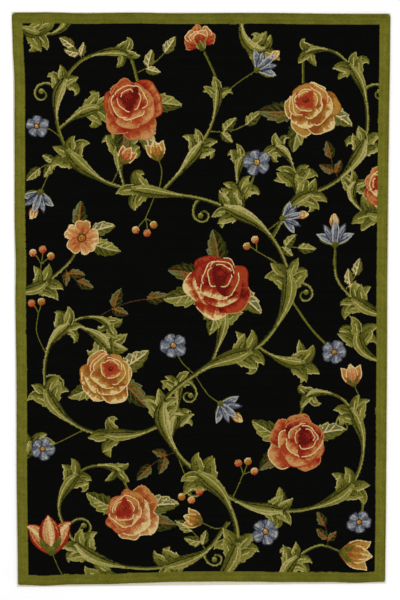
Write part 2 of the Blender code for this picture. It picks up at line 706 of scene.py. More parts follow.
@dataclass(frozen=True)
class Sheath:
    """A leaf that wraps a stem: it widens from its root and opens into broad lobes."""

    start: float
    end: float
    width: float
    size: float
    fan: int = 4
    sides: tuple[int, ...] = (1, -1)

    RIMS = (Yarn.PALE, Yarn.STRAW)

    def root(self, part: Points, where: float, wide: float, off: float, back: float) -> tuple[Place, float]:
        """Finds where a lobe starts.

        Args:
            part: the stem's middle line along the sheath.
            where: the share along it.
            wide: how far the lobes spread there, in shares of the sheath's width.
            off: where in that spread it lies, from -1 on the right to 1 on the left.
            back: how far back it starts, in shares of the lobes' length.

        Returns:
            The place, and the stem's heading there.
        """
        k = int(len(part) * where)
        along = tangents(part)[k]
        at = part[k] + left_of(along) * self.width * wide * off - along * self.size * back
        return at, heading_of(along)

    def patches(self, line: Points, stem: float, light: int, seed: int) -> list[Patch]:
        """Makes the sheath on a stem.

        Args:
            line: the stem's middle line.
            stem: the stem's half width where the sheath starts.
            light: the side of the stem that is lit, 1 for its left.
            seed: for its shape.

        Returns:
            The patches, the lowest first.
        """
        rng = np.random.default_rng(seed + 77)
        yarns = BODY_GREENS if seed % 3 else BRIGHT_GREENS
        last = len(line) - 1
        part = line[int(self.start * last) : int(self.end * last) + 1]
        made = []
        spread = np.linspace(-1, 1, self.fan)
        for i in sorted(range(self.fan), key=lambda i: -abs(spread[i])):
            off = spread[i]
            at, heading = self.root(part, 0.93, 0.45, off, 0.25)
            length = self.size * (1.05 - 0.16 * abs(off)) * rng.uniform(0.88, 1.12)
            heading = heading + off * 34 + rng.uniform(-5, 5)
            side, turn = 1 if off >= 0 else -1, 20 + 84 * abs(off)
            number, rim = seed * 5 + i, self.RIMS[(i + seed) % 2]
            made += Lobe(at, heading, length, side, turn, number, yarns, rim).patches()
        for side in self.sides:
            at, heading = self.root(part, 0.80, 0.3, side, 0.3)
            length = self.size * 0.92 * rng.uniform(0.9, 1.1)
            heading += side * rng.uniform(24, 34)
            number, rim = seed * 7 + 3 * side, self.RIMS[(seed + 1) % 2]
            made += Lobe(at, heading, length, side, rng.uniform(26, 44), number, yarns, rim).patches()
        return made + self.body(part, stem, light, yarns, seed)

    def body(self, part: Points, stem: float, light: int, yarns: tuple[Yarn, ...], seed: int) -> list[Patch]:
        """Makes the widening body of the sheath, its rib and its shadow line.

        Args:
            part: the stem's middle line along the sheath.
            stem: the stem's half width where the sheath starts.
            light: the side of the stem that is lit, 1 for its left.
            yarns: its greens.
            seed: for its streaks.

        Returns:
            The patches, the lowest first.
        """
        q = shares(part)
        half = (stem + (self.width - stem) * ease(q / 0.72)) * (1 - 0.55 * ease((q - 0.7) / 0.3))
        side = left_of(tangents(part)) * light * half[:, None]
        return [
            area(part, half, Tones(yarns, across=0.85 * light, along=0.15, streak=0.12), seed),
            stroke(part + side * 0.35, Yarn.STRAW, 0.05, 0.92),
            stroke(part - side * 0.40, Yarn.SHADOW, 0.25, 0.98),
        ]


@dataclass(frozen=True)
class Stem:
    """A stem with sheaths along it. Without any it is a tendril, which ends in a knob."""

    line: Points
    start: float
    end: float
    sheaths: tuple[Sheath, ...]
    light: int
    seed: int

    SHADED_FROM = 0.0075
    KNOB = 0.0085

    def patches(self) -> list[Patch]:
        """Makes the stem, its rib and shadow, and its sheaths.

        Returns:
            The patches, the lowest first, with the sheath nearest the root on top.
        """
        half = self.start + (self.end - self.start) * shares(self.line)
        made = [area(self.line, half, Tones(STEM_GREENS, across=0.9 * self.light, streak=0.12), self.seed)]
        side = left_of(tangents(self.line)) * self.light * half[:, None]
        made.append(stroke(self.line + side * 0.32, Yarn.PALE, 0.04, 0.8))
        if self.start > self.SHADED_FROM:
            made.append(stroke(self.line - side * 0.6, Yarn.SHADOW, 0.02, 0.7))
        if not self.sheaths:
            made.append(blob(self.line[-1], self.KNOB, Tones(KNOB_GREENS, along=0.9)))
        for j, sheath in reversed(list(enumerate(self.sheaths))):
            stem = self.start + (self.end - self.start) * sheath.start
            made += sheath.patches(self.line, stem, self.light, self.seed * 13 + j)
        return made


LEFT, RIGHT = (1,), (-1,)
TENDRIL = ()
ONE_SHEATH = (Sheath(0.20, 0.90, 0.019, 0.074),)
TWO_SHEATHS = (Sheath(0.10, 0.42, 0.018, 0.070), Sheath(0.55, 0.97, 0.015, 0.060, sides=LEFT))


@dataclass(frozen=True)
class Shoot:
    """A side shoot: where it leaves its vine, to which side, and how it bends."""

    knot: float
    side: int
    off: float
    length: float
    bend: float
    sheaths: tuple[Sheath, ...] = ONE_SHEATH

    ROOT = 0.005
    END = 0.003


@dataclass(frozen=True)
class Vine(Motif):
    """A vine along a route. Its sheaths and shoots are placed by the knots of the route."""

    route: list[Place]
    light: int
    seed: int
    sheaths: tuple[tuple, ...]
    shoots: tuple[tuple, ...] = ()
    start: float = 0.0065
    end: float = 0.004

    def line(self) -> tuple[Points, Callable[[float], float]]:
        """Works out the vine's middle line.

        Returns:
            Its points, and what tells the share along it of a place between knots.
        """
        points = smooth(self.route)
        length = lengths(points)
        knots = length[::PER_KNOT] / length[-1]
        return resample(points, 0.003), lambda knot: float(np.interp(knot, np.arange(len(knots)), knots))

    def middle(self) -> list[Patch]:
        """The vine itself, without its shoots."""
        line, share = self.line()
        sheaths = [Sheath(share(first), share(last), *rest) for first, last, *rest in self.sheaths]
        return Stem(line, self.start, self.end, tuple(sheaths), self.light, self.seed).patches()

    def below(self) -> list[Patch]:
        """Makes the side shoots.

        Returns:
            Their patches, the lowest first.
        """
        line, share = self.line()
        along = tangents(line)
        made = []
        for i, shoot in enumerate((Shoot(*row) for row in self.shoots), start=1):
            k = int(round(share(shoot.knot) * (len(line) - 1)))
            heading = heading_of(along[k]) + shoot.side * shoot.off
            bend = shoot.side * shoot.bend
            path = sweep(line[k], heading, shoot.length, bend * 0.4, bend * 0.6)
            stem = Stem(path, shoot.ROOT, shoot.END, shoot.sheaths, -shoot.side, self.seed * 17 + i)
            made += stem.patches()
        return made


@dataclass(frozen=True)
class EdgeShoot(Motif):
    """A shoot that comes in from under the border."""

    at: Place
    heading: float
    length: float
    bend: float
    curl: float
    sheaths: tuple[Sheath, ...]
    seed: int

    def below(self) -> list[Patch]:
        """The shoot with its sheaths."""
        line = sweep(self.at, self.heading, self.length, self.bend, self.curl)
        return Stem(line, 0.006, 0.0035, self.sheaths, 1, self.seed).patches()


# Flowers


@dataclass(frozen=True)
class Petal:
    """A rounded petal that reaches from near to far out of its flower's middle."""

    centre: Place
    heading: float
    near: float
    far: float
    width: float
    ruffle: float
    flare: float
    notch: float = 0.0

    def patch(self, tones: Tones, seed: int, kind: Kind = Kind.BLOOMS) -> Patch:
        """Makes the petal.

        Args:
            tones: its yarns.
            seed: for its ruffles and its streaks.
            kind: what it is part of.

        Returns:
            The patch.
        """
        phases = np.random.default_rng(seed).uniform(0, 2 * np.pi, 2)
        phi = np.linspace(-np.pi, np.pi, 64, endpoint=False)
        x, y = np.cos(phi), np.sin(phi)
        wave = 0.6 * np.sin(3 * phi + phases[0]) + 0.5 * np.sin(5 * phi + phases[1])
        r = 1 + self.ruffle * wave * (0.6 + 0.4 * x) - self.notch * np.exp(-((phi / 0.35) ** 2))
        out = (self.near + self.far) / 2 + (self.far - self.near) / 2 * x * r
        across = self.width / 2 * y * r * (1 + self.flare * x)
        way = unit(math.radians(self.heading))
        outline = self.centre + out[:, None] * way + across[:, None] * left_of(way)
        spine = resample(np.stack([self.centre + way * self.near, self.centre + way * self.far]), 0.004)
        return Patch(outline, spine, np.full(len(spine), self.width / 2), tones, kind, seed)


@dataclass(frozen=True)
class LeafyFlower(Motif):
    """A flower with saw-edged leaves behind it, each of them given by its heading, length and colour."""

    at: Place
    radius: float
    turn: float
    colour: BloomColour
    seed: int
    leaves: tuple = ()

    HIDES = 0.58  # the share of its radius that covers its leaves

    def below(self) -> list[Patch]:
        """Makes the leaves.

        Returns:
            Their patches, the lowest first.
        """
        made = []
        for i, (heading, length, colour) in enumerate(self.leaves):
            way = 1 if i % 2 else -1
            start = towards(self.at, heading, self.radius * self.HIDES)
            made += SawLeaf(start, heading + 8 * way, length, colour, self.seed * 10 + i, 14 * way).patches()
        return made


@dataclass(frozen=True)
class Ring:
    """One ring of a rose's petals."""

    count: int
    reach: float  # how far its petals reach, in shares of the rose's radius
    shift: float  # how far it lies towards the side that the rose faces
    spread: float  # how wide its petals are for their number
    root: float  # the share along its petals where their shading starts


class Rose(LeafyFlower):
    """A full rose whose cup is turned to one side: rings of ruffled petals round a deep heart."""

    RINGS = (
        Ring(6, 1.00, 0.00, 1.90, 0.60),
        Ring(5, 0.77, 0.09, 2.15, 0.52),
        Ring(4, 0.56, 0.18, 2.30, 0.45),
        Ring(3, 0.37, 0.25, 2.30, 0.45),
    )

    def above(self) -> list[Patch]:
        """Makes the petals, from the outer ring in, and the heart.

        Returns:
            The patches, the lowest first.
        """
        rng = np.random.default_rng(self.seed)
        made = []
        for number, ring in enumerate(self.RINGS):
            first = 0.5 * (number % 2)
            turns = [360 * (k + first) / ring.count + rng.uniform(-13, 13) for k in range(ring.count)]
            turns.sort(key=lambda t: -math.cos(math.radians(t)) + 0.4 * math.sin(math.radians(t)))
            made += [self.petal(number, turn, rng) for turn in turns]
        heart = Tones(self.colour.heart, along=0.6, streak=0.4)
        middle = towards(self.at, self.turn, self.radius * 0.28)
        return [*made, blob(middle, self.radius * 0.13, heart, Kind.BLOOMS, self.turn, self.seed)]

    def petal(self, number: int, turn: float, rng: np.random.Generator) -> Patch:
        """Makes one petal.

        Args:
            number: the number of its ring.
            turn: its heading from the side that faces out, in degrees.
            rng: for its unevenness.

        Returns:
            The petal.
        """
        ring, dyes = self.RINGS[number], self.colour
        facing = math.cos(math.radians(turn))
        far = self.radius * ring.reach * (1 + 0.12 * facing) * rng.uniform(0.90, 1.08)
        wide = far * min(1.5, ring.spread * math.sin(math.pi / ring.count))
        light = facing + rng.uniform(-0.5, 0.5)
        yarns = dyes.lit if light > 0.30 else dyes.half if light > -0.35 else dyes.deep
        if number > 2:
            yarns = dyes.deep
        rims = (RIM, dyes.half[1], dyes.deep_rim, yarns[-1])
        tones = Tones(
            yarns,
            rim=RIM if number > 1 else rims[rng.integers(len(rims))],
            rim_from=rng.uniform(0.50, 0.75),
            along=1.3,
            start=ring.root,
            across=rng.uniform(-0.9, 0.9),
            streak=0.24,
        )
        centre = towards(self.at, self.turn, self.radius * ring.shift)
        notch = 0.10 if number == 0 and int(turn) % 2 else 0.0
        petal = Petal(centre, self.turn + 180 + turn, -0.1 * far, far, wide, 0.095, 0.16, notch)
        return petal.patch(tones, self.seed * 31 + number * 7 + int(turn))


class OpenRose(LeafyFlower):
    """A single rose seen open, with notched petals round a gold heart."""

    PETALS = 5
    STAMENS = 7
    HIDES = 0.62

    def above(self) -> list[Patch]:
        """Makes the petals, the heart and its stamens.

        Returns:
            The patches, the lowest first.
        """
        rng = np.random.default_rng(self.seed)
        wide = self.radius * 1.37 * math.sin(math.pi / self.PETALS)
        made = []
        for k in range(self.PETALS):
            heading = self.turn + 360 * k / self.PETALS + rng.uniform(-5, 5)
            yarns = self.colour.half if k % 2 else self.colour.lit
            tones = Tones(yarns, rim=RIM, rim_from=0.55, along=0.9, middle=-0.25, streak=0.25)
            far = self.radius * rng.uniform(0.94, 1.05)
            petal = Petal(self.at, heading, 0.0, far, wide, 0.04, 0.35, 0.16)
            made.append(petal.patch(tones, self.seed * 17 + k))
        heart = Tones(ROSE_GOLDS, rim=Yarn.BARK, along=0.5, streak=0.5)
        made.append(blob(self.at, self.radius * 0.24, heart, Kind.BLOOMS, seed=self.seed))
        for k in range(self.STAMENS):
            at = towards(self.at, self.turn + k * 51.4, self.radius * 0.34)
            made.append(blob(at, 0.0030, Tones((Yarn.GOLD,)), Kind.BLOOMS))
        return made


@dataclass(frozen=True)
class Carnation(Motif):
    """A frilled flower seen from the side, over a green cup."""

    at: Place
    heading: float
    radius: float
    colour: BloomColour
    seed: int

    # For each petal, the outer ones first: its heading from the flower's, its reach and its layer
    PETALS = (
        (-72, 0.86, 0), (72, 0.86, 0), (-40, 0.98, 1), (40, 0.98, 1),
        (0, 1.04, 2), (-22, 0.78, 3), (22, 0.78, 3), (0, 0.62, 4),
    )  # fmt: skip

    def above(self) -> list[Patch]:
        """Makes the frilled petals, the outer ones first, and the cup.

        Returns:
            The patches, the lowest first.
        """
        rng = np.random.default_rng(self.seed)
        dyes = self.colour
        layers = (dyes.deep, dyes.half, dyes.half, dyes.lit, dyes.deep)
        rims = (dyes.deep_rim, RIM, dyes.deep_rim, RIM, RIM)
        made = []
        for j, (off, reach, layer) in enumerate(self.PETALS):
            tones = Tones(layers[layer], rim=rims[layer], rim_from=0.6, along=1.0, streak=0.3)
            heading = self.heading + off + rng.uniform(-4, 4)
            petal = Petal(self.at, heading, 0.0, reach * self.radius * 1.1, self.radius * 0.62, 0.10, 0.45)
            made.append(petal.patch(tones, self.seed * 11 + j))
        root = towards(self.at, self.heading, -self.radius * 0.34)
        shape = (self.radius * 0.13, 0.45, TIP, self.radius * 0.08)
        for off in (28, -28, 0):
            tones = Tones(STEM_GREENS, rim=Yarn.PALE, rim_side=1 if off > 0 else -1, rim_from=0.3, along=0.5)
            path = (root, self.heading + off, self.radius * 0.62, -off * 0.4, off * 0.8)
            made.append(blade(path, shape, tones, self.seed + 5))
        return made


@dataclass(frozen=True)
class StemFlower(Motif):
    """Anything at the end of a thin stem along a route."""

    stem: list[Place]

    @property
    def at(self) -> Place:
        """Where the stem ends."""
        return self.stem[-1]

    def below(self) -> list[Patch]:
        """The stem."""
        return [stroke(smooth(self.stem), Yarn.MOSS)]


@dataclass(frozen=True)
class Bud(StemFlower):
    """A flower of three pointed petals seen from the side: a closed bud, or a tulip if it is flared."""

    heading: float
    length: float
    colour: BloomColour
    seed: int
    flare: float = 0.0

    def above(self) -> list[Patch]:
        """Makes the outer petals, the middle one and the cup.

        Returns:
            The patches, the lowest first.
        """
        dyes, size, flare = self.colour, self.length, self.flare
        flame = (dyes.deep[1], dyes.deep[2], dyes.lit[2], dyes.lit[3], RIM)
        made = []
        for i, (turn, wide) in enumerate(((34, 0.25), (-34, 0.25), (0, 0.30))):
            turn = turn * (1 + 0.5 * flare)
            bend, curl = -turn * (0.9 + 0.5 * flare), turn * (1.25 + 1.3 * flare)
            path = (self.at, self.heading + turn, size, bend, curl)
            tones = Tones(dyes.lit if i == 2 else dyes.half, rim=RIM, rim_from=0.3, along=0.8, streak=0.3)
            if flare:
                tones = Tones(flame, rim=dyes.deep[1], middle=1.15, along=0.35, streak=0.38)
            shape = (size * wide, 0.48, 0.0008, size * 0.12)
            made.append(blade(path, shape, tones, self.seed + i, Kind.BLOOMS))
        for turn in (50, -50):
            path = (self.at, self.heading + turn, size * 0.5, -turn * 0.3, -turn * 0.8)
            tones = Tones(STEM_GREENS, along=0.4)
            made.append(blade(path, (size * 0.09, 0.4, TIP, size * 0.05), tones, self.seed + 5))
        return [*made, blob(self.at, size * 0.13, Tones(STEM_GREENS, along=0.6), light=self.heading)]


@dataclass(frozen=True)
class Windflower(StemFlower):
    """A small blue flower with five round petals and a gold heart."""

    radius: float
    turn: float
    seed: int

    PETALS = 5

    def above(self) -> list[Patch]:
        """Makes the petals and the heart.

        Returns:
            The patches, the lowest first.
        """
        rng = np.random.default_rng(self.seed)
        made = []
        for i in range(self.PETALS):
            heading = self.turn + 360 * i / self.PETALS + rng.uniform(-6, 6)
            tones = Tones(BLUES, middle=0.5, along=0.35, streak=0.25, rim=Yarn.SLATE if i % 2 else Yarn.BLUE)
            far = self.radius * rng.uniform(0.92, 1.05)
            petal = Petal(self.at, heading, 0.08 * self.radius, far, self.radius * 0.86, 0.06, 0.3)
            made.append(petal.patch(tones, self.seed * 13 + i, Kind.BLUES))
        heart = Tones(HEART_GOLDS, rim=Yarn.BARK, along=0.6)
        return [*made, blob(self.at, self.radius * 0.26, heart, Kind.BLUES, seed=self.seed)]

    def below(self) -> list[Patch]:
        """The stem, which is two rows wide under every second flower."""
        return [stroke(smooth(self.stem), Yarn.MOSS, rows=2 if self.seed % 2 else 1)]


@dataclass(frozen=True)
class Bellflower(StemFlower):
    """A blue bell seen from the side, with pointed petals and a gold mouth."""

    heading: float
    length: float
    seed: int

    PETALS = 5
    SPREAD = 96.0

    def below(self) -> list[Patch]:
        """Makes the stem and the sepals.

        Returns:
            The patches, the lowest first.
        """
        made = super().below()
        for off in (-78, 78):
            path = (self.at, self.heading + off, self.length * 0.75, -off * 0.4)
            shape = (self.length * 0.09, 0.5, TIP, 0.002)
            made.append(blade(path, shape, Tones(STEM_GREENS, along=0.7), self.seed))
        return made

    def above(self) -> list[Patch]:
        """Makes the gold mouth, the petals with the middle one on top, and the cup.

        Returns:
            The patches, the lowest first.
        """
        rng = np.random.default_rng(self.seed)
        size = self.length
        mouth = (towards(self.at, self.heading, size * 0.6), self.heading, size * 0.62)
        tones = Tones(HEART_GOLDS, along=0.8, streak=0.3)
        made = [blade(mouth, (size * 0.2, 0.5, 0.003, 0.004), tones, kind=Kind.BLOOMS)]
        last = self.PETALS - 1
        for i in sorted(range(self.PETALS), key=lambda k: -abs(k - last / 2)):
            off = i / last - 0.5
            length = size * (1 - 0.3 * abs(off)) * rng.uniform(0.94, 1.05)
            path = (self.at, self.heading + self.SPREAD * off + rng.uniform(-4, 4), length, off * 50)
            tones = Tones(BLUES, along=0.5, across=0.5, streak=0.35, rim=Yarn.SLATE if i % 2 else Yarn.ICE)
            made.append(blade(path, (size * 0.15, 0.6, TIP, size * 0.08), tones, self.seed + i, Kind.BLUES))
        return [*made, blob(self.at, size * 0.14, Tones(STEM_GREENS, along=0.4))]


@dataclass(frozen=True)
class Berries(StemFlower):
    """A few berries on stalks from the end of one stem."""

    spots: list[Place]
    seed: int

    RADIUS = 0.0118
    SKINS = tuple(map(skeins, ("BRICK PEACH BLUSH CREAM", "RED CORAL PEACH PEACH", "RUST HONEY GOLD CREAM")))

    def below(self) -> list[Patch]:
        """The stem and the stalks."""
        middles = [(np.array(self.at) + spot) / 2 + 0.002 for spot in self.spots]
        stalks = [smooth([self.at, middle, spot]) for middle, spot in zip(middles, self.spots)]
        return super().below() + [stroke(stalk, Yarn.MOSS) for stalk in stalks]

    def above(self) -> list[Patch]:
        """The berries."""
        dyes = [Tones(skin, along=1.0, streak=0.1) for skin in self.SKINS]
        return [
            blob(at, self.RADIUS, dyes[(i + self.seed) % len(dyes)], Kind.BLOOMS, seed=i)
            for i, at in enumerate(self.spots)
        ]


# The design: a table for each kind of motif, the lowest kind first. Each row is one motif, the lowest first,
# and holds the fields of its class in their order.

FRESH, DUSKY, SILVER = LeafColour
CORAL, GOLDEN, CRIMSON, PEACHY = BloomColour

# A vine's row holds its route, its lit side, its seed, its sheaths, its side shoots, and its half widths at
# the root and the tip. In a sheath's row are the knots of the route that it lies between, its half width,
# the length of its lobes, how many are in its fan, and the sides that have one more. In a shoot's row are
# its knot, its side, the angle at which it leaves, its length, its bend and what grows on it.
VINES = (
    (
        [(-0.12, 0.34), (-0.04, 0.43), (0.03, 0.54), (0.05, 0.66), (0.01, 0.765)], 1, 6,
        ((0.5, 1.6, 0.018, 0.068), (2.2, 3.0, 0.014, 0.056, 3)), (), 0.0055, 0.0035,
    ),
    (
        [(-0.60, 0.03), (-0.50, 0.05), (-0.41, 0.12), (-0.37, 0.18)], -1, 8,
        ((0.2, 1.3, 0.019, 0.068),), (), 0.006, 0.0035,
    ),
    (
        [(0.60, -0.05), (0.50, -0.01), (0.42, 0.07), (0.41, 0.17)], 1, 7,
        ((0.2, 1.4, 0.020, 0.070),), (), 0.006, 0.0035,
    ),
    (
        [(0.24, -0.92), (0.27, -0.82), (0.36, -0.755), (0.44, -0.775)], 1, 9,
        ((0.1, 1.4, 0.019, 0.070),), (), 0.006, 0.0035,
    ),
    (
        [
            (0.085, -0.68), (0.0, -0.78), (-0.17, -0.825), (-0.35, -0.78),
            (-0.44, -0.64), (-0.37, -0.52), (-0.27, -0.51), (-0.225, -0.58),
        ], 1, 2,
        (
            (0.7, 1.7, 0.020, 0.072), (2.3, 3.3, 0.021, 0.074),
            (4.0, 4.9, 0.019, 0.066), (5.5, 6.3, 0.013, 0.050, 3, LEFT),
        ),
        ((3.6, -1, 50, 0.17, 430, TENDRIL), (0.9, 1, 50, 0.13, 400, TENDRIL)),
    ),
    (
        [
            (0.05, -0.58), (0.16, -0.63), (0.32, -0.64), (0.46, -0.57),
            (0.50, -0.43), (0.44, -0.30), (0.34, -0.28), (0.30, -0.36),
        ], -1, 3,
        (
            (0.5, 1.6, 0.020, 0.072), (2.1, 3.1, 0.021, 0.074),
            (3.8, 4.8, 0.018, 0.066), (5.4, 6.2, 0.013, 0.050, 3, RIGHT),
        ),
        ((4.6, 1, 40, 0.15, 430, TENDRIL),),
    ),
    (
        [
            (-0.11, -0.37), (-0.21, -0.405), (-0.36, -0.39), (-0.47, -0.29),
            (-0.47, -0.14), (-0.38, -0.05), (-0.29, -0.06), (-0.27, -0.16),
        ], 1, 4,
        (
            (0.6, 1.6, 0.020, 0.072, 3), (2.2, 3.2, 0.021, 0.074),
            (3.9, 4.8, 0.017, 0.066, 4, LEFT), (5.4, 6.2, 0.012, 0.050, 3, LEFT),
        ),
        ((4.8, -1, 50, 0.16, 60), (3.4, -1, 60, 0.14, 420, TENDRIL)),
    ),
    (
        [
            (0.215, 0.20), (0.29, 0.31), (0.42, 0.38), (0.50, 0.50),
            (0.49, 0.66), (0.41, 0.76), (0.32, 0.76), (0.31, 0.67),
        ], -1, 5,
        (
            (0.5, 1.4, 0.020, 0.070), (2.0, 3.0, 0.020, 0.070),
            (3.7, 4.6, 0.017, 0.064, 4, RIGHT), (5.3, 6.0, 0.012, 0.050, 3, RIGHT),
        ),
        ((1.0, 1, 45, 0.20, 80, TWO_SHEATHS), (3.9, -1, 50, 0.15, 430, TENDRIL)),
    ),
    (
        [
            (0.02, -0.92), (0.11, -0.76), (0.07, -0.60), (-0.07, -0.47), (-0.12, -0.32), (0.01, -0.20),
            (0.19, -0.12), (0.27, 0.05), (0.20, 0.22), (0.03, 0.31), (-0.14, 0.34), (-0.29, 0.37),
            (-0.41, 0.47), (-0.44, 0.62), (-0.36, 0.74), (-0.23, 0.76), (-0.19, 0.67),
        ], -1, 1,
        (
            (0.2, 1.1, 0.024, 0.080), (1.7, 2.6, 0.024, 0.080), (3.1, 4.1, 0.024, 0.076),
            (4.9, 5.8, 0.023, 0.078), (6.3, 7.3, 0.024, 0.076), (7.9, 8.8, 0.022, 0.074),
            (9.5, 10.5, 0.020, 0.072, 3), (11.0, 12.0, 0.022, 0.074),
            (12.6, 13.5, 0.019, 0.066, 4, LEFT), (14.2, 15.1, 0.014, 0.056, 3, LEFT),
        ),
        (
            (3.3, -1, 45, 0.20, -30, TWO_SHEATHS), (5.1, 1, 40, 0.20, 40), (5.9, -1, 70, 0.18, -60),
            (8.4, -1, 40, 0.20, 60, TWO_SHEATHS), (10.6, -1, 60, 0.16, 60), (12.4, -1, 60, 0.16, 60),
            (2.6, 1, 60, 0.17, 420, TENDRIL), (7.0, -1, 50, 0.17, 430, TENDRIL),
            (9.2, 1, 50, 0.16, 430, TENDRIL), (13.2, 1, 60, 0.17, 430, TENDRIL),
            (4.6, -1, 50, 0.15, 430, TENDRIL),
        ),
        0.0085, 0.0045,
    ),
)  # fmt: skip

EDGE_SHOOTS = (
    ((-0.58, 0.86), -40, 0.24, 60, 100, TWO_SHEATHS, 91),
    ((0.60, 0.27), 190, 0.22, -60, -100, TWO_SHEATHS, 92),
    ((0.13, 0.90), 250, 0.20, 70, 100, ONE_SHEATH, 93),
    ((0.60, -0.19), 170, 0.20, -30, -120, ONE_SHEATH, 94),
    ((-0.22, -0.90), 120, 0.13, 60, 50, ONE_SHEATH, 95),
    ((-0.60, -0.50), 10, 0.13, 60, 50, ONE_SHEATH, 96),
)

SPRAYS = (
    ((-0.32, -0.047), 38, 0.17, 0.068, DUSKY, 1, -34),
    ((-0.199, 0.70), 20, 0.11, 0.060, SILVER, 2),
    ((-0.08, -0.46), 200, 0.09, 0.062, DUSKY, 3, 20),
    ((0.024, 0.527), -15, 0.12, 0.062, FRESH, 4, 50),
    ((0.42, 0.38), 120, 0.07, 0.056, DUSKY, 5, -20),
    ((0.44, 0.04), 40, 0.06, 0.054, SILVER, 6),
    ((0.23, 0.17), 10, 0.07, 0.056, FRESH, 7, -20),
    ((-0.42, 0.11), 300, 0.06, 0.056, DUSKY, 8),
    ((-0.36, 0.74), 110, 0.05, 0.052, SILVER, 9),
    ((0.014, -0.771), 110, 0.08, 0.060, FRESH, 11),
    ((-0.428, 0.435), 185, 0.07, 0.056, FRESH, 12),
    ((0.392, -0.758), 82, 0.07, 0.052, DUSKY, 13),
)

ROSES = (
    (
        (0.05, 0.06), 0.104, 70, CRIMSON, 5,
        (
            (205, 0.115, FRESH), (155, 0.10, DUSKY), (335, 0.105, SILVER), (85, 0.11, DUSKY),
            (270, 0.10, FRESH),
        ),
    ),
    ((-0.21, 0.60), 0.094, 110, CORAL, 1, ((10, 0.10, FRESH), (250, 0.11, DUSKY), (300, 0.10, SILVER))),
    ((-0.29, -0.22), 0.088, 60, GOLDEN, 2, ((330, 0.11, DUSKY), (20, 0.10, SILVER), (220, 0.09, FRESH))),
    ((-0.22, -0.65), 0.088, 150, PEACHY, 8, ((20, 0.105, SILVER), (335, 0.1, DUSKY), (165, 0.1, FRESH))),
    ((0.305, -0.43), 0.094, 40, CORAL, 12, ((165, 0.11, FRESH), (205, 0.1, DUSKY), (25, 0.095, SILVER))),
    ((0.33, 0.60), 0.086, 120, GOLDEN, 21, ((195, 0.11, DUSKY), (240, 0.1, FRESH), (345, 0.095, SILVER))),
    ((0.56, 0.36), 0.070, 160, PEACHY, 31),
)  # fmt: skip

OPEN_ROSES = (
    ((-0.365, 0.20), 0.058, 10, PEACHY, 3, ((100, 0.08, DUSKY), (330, 0.09, FRESH), (30, 0.075, SILVER))),
)
CARNATIONS = (((0.0, 0.785), 105, 0.054, CORAL, 4),)

BUDS = (
    ([(0.40, -0.762), (0.44, -0.775)], -8, 0.095, GOLDEN, 5),
    ([(-0.40, -0.90), (-0.44, -0.83), (-0.465, -0.77)], 95, 0.115, CORAL, 6, 0.7),
    ([(0.09, -0.68), (0.05, -0.70), (0.0, -0.68)], 160, 0.060, GOLDEN, 7),
    ([(0.48, -0.35), (0.49, -0.30), (0.47, -0.25)], 100, 0.065, PEACHY, 8),
    ([(-0.13, 0.34), (-0.12, 0.40), (-0.13, 0.44)], 105, 0.060, GOLDEN, 9),
    ([(-0.27, 0.37), (-0.24, 0.43)], 60, 0.055, CORAL, 10),
)

BERRIES = (
    ([(-0.137, 0.34), (-0.17, 0.26)], [(-0.20, 0.225), (-0.165, 0.215), (-0.145, 0.24)], 0),
    ([(0.10, -0.60), (0.13, -0.53)], [(0.115, -0.495), (0.145, -0.49), (0.165, -0.52)], 1),
    ([(-0.07, -0.48), (-0.04, -0.56)], [(-0.06, -0.60), (-0.03, -0.61), (-0.005, -0.585)], 2),
    ([(0.262, 0.107), (0.17, 0.16)], [(0.14, 0.175), (0.165, 0.195)], 2),
    ([(-0.475, -0.16), (-0.505, -0.09), (-0.50, -0.03)], [(-0.52, 0.0), (-0.49, 0.005)], 1),
    ([(-0.50, 0.05), (-0.49, 0.12)], [(-0.515, 0.155), (-0.485, 0.165), (-0.46, 0.145)], 0),
)

WINDFLOWERS = (
    ([(-0.02, -0.22), (-0.06, -0.18), (-0.085, -0.13)], 0.042, 40, 2),
    ([(0.27, 0.02), (0.34, -0.08), (0.41, -0.15)], 0.040, 70, 3),
    ([(0.10, 0.29), (0.15, 0.36), (0.17, 0.43)], 0.042, 33, 7),
    ([(0.111, -0.719), (0.15, -0.74), (0.20, -0.71)], 0.042, 64, 9),
    ([(-0.36, -0.39), (-0.44, -0.43), (-0.49, -0.45)], 0.038, 64, 10),
    ([(0.46, -0.57), (0.50, -0.62), (0.49, -0.68)], 0.038, 64, 11),
    ([(-0.42, 0.50), (-0.46, 0.53), (-0.50, 0.54)], 0.036, 20, 12),
)

BELLFLOWERS = (
    ([(0.405, 0.12), (0.41, 0.18)], 92, 0.078, 6),
    ([(0.05, 0.62), (0.11, 0.67), (0.17, 0.71)], 40, 0.072, 7),
    ([(-0.40, 0.46), (-0.46, 0.40), (-0.49, 0.34)], 250, 0.072, 8),
    ([(-0.02, -0.22), (0.02, -0.28), (0.06, -0.31)], 320, 0.072, 9),
    ([(0.20, 0.22), (0.25, 0.26)], 10, 0.066, 10),
)


@dataclass(frozen=True)
class FlowerField:
    """The design of the black field: vines that scroll over it, and the flowers between them."""

    plan: tuple[tuple[type[Motif], tuple], ...] = (
        (Vine, VINES),
        (EdgeShoot, EDGE_SHOOTS),
        (Spray, SPRAYS),
        (Rose, ROSES),
        (OpenRose, OPEN_ROSES),
        (Carnation, CARNATIONS),
        (Bud, BUDS),
        (Berries, BERRIES),
        (Windflower, WINDFLOWERS),
        (Bellflower, BELLFLOWERS),
    )

    def patches(self) -> list[Patch]:
        """Every patch of the field, the lowest first."""
        motifs = [maker(*row) for maker, rows in self.plan for row in rows]
        layers = [[m.below() for m in motifs], [m.middle() for m in motifs], [m.above() for m in motifs]]
        return [patch for layer in layers for made in layer for patch in made]


# Hooking


@dataclass
class Loops:
    """Every loop of the pile."""

    at: Array
    heading: Array
    kind: Array
    colour: Array
    rank: Array  # the row from the rug's edge for the border's rows, and 9 elsewhere


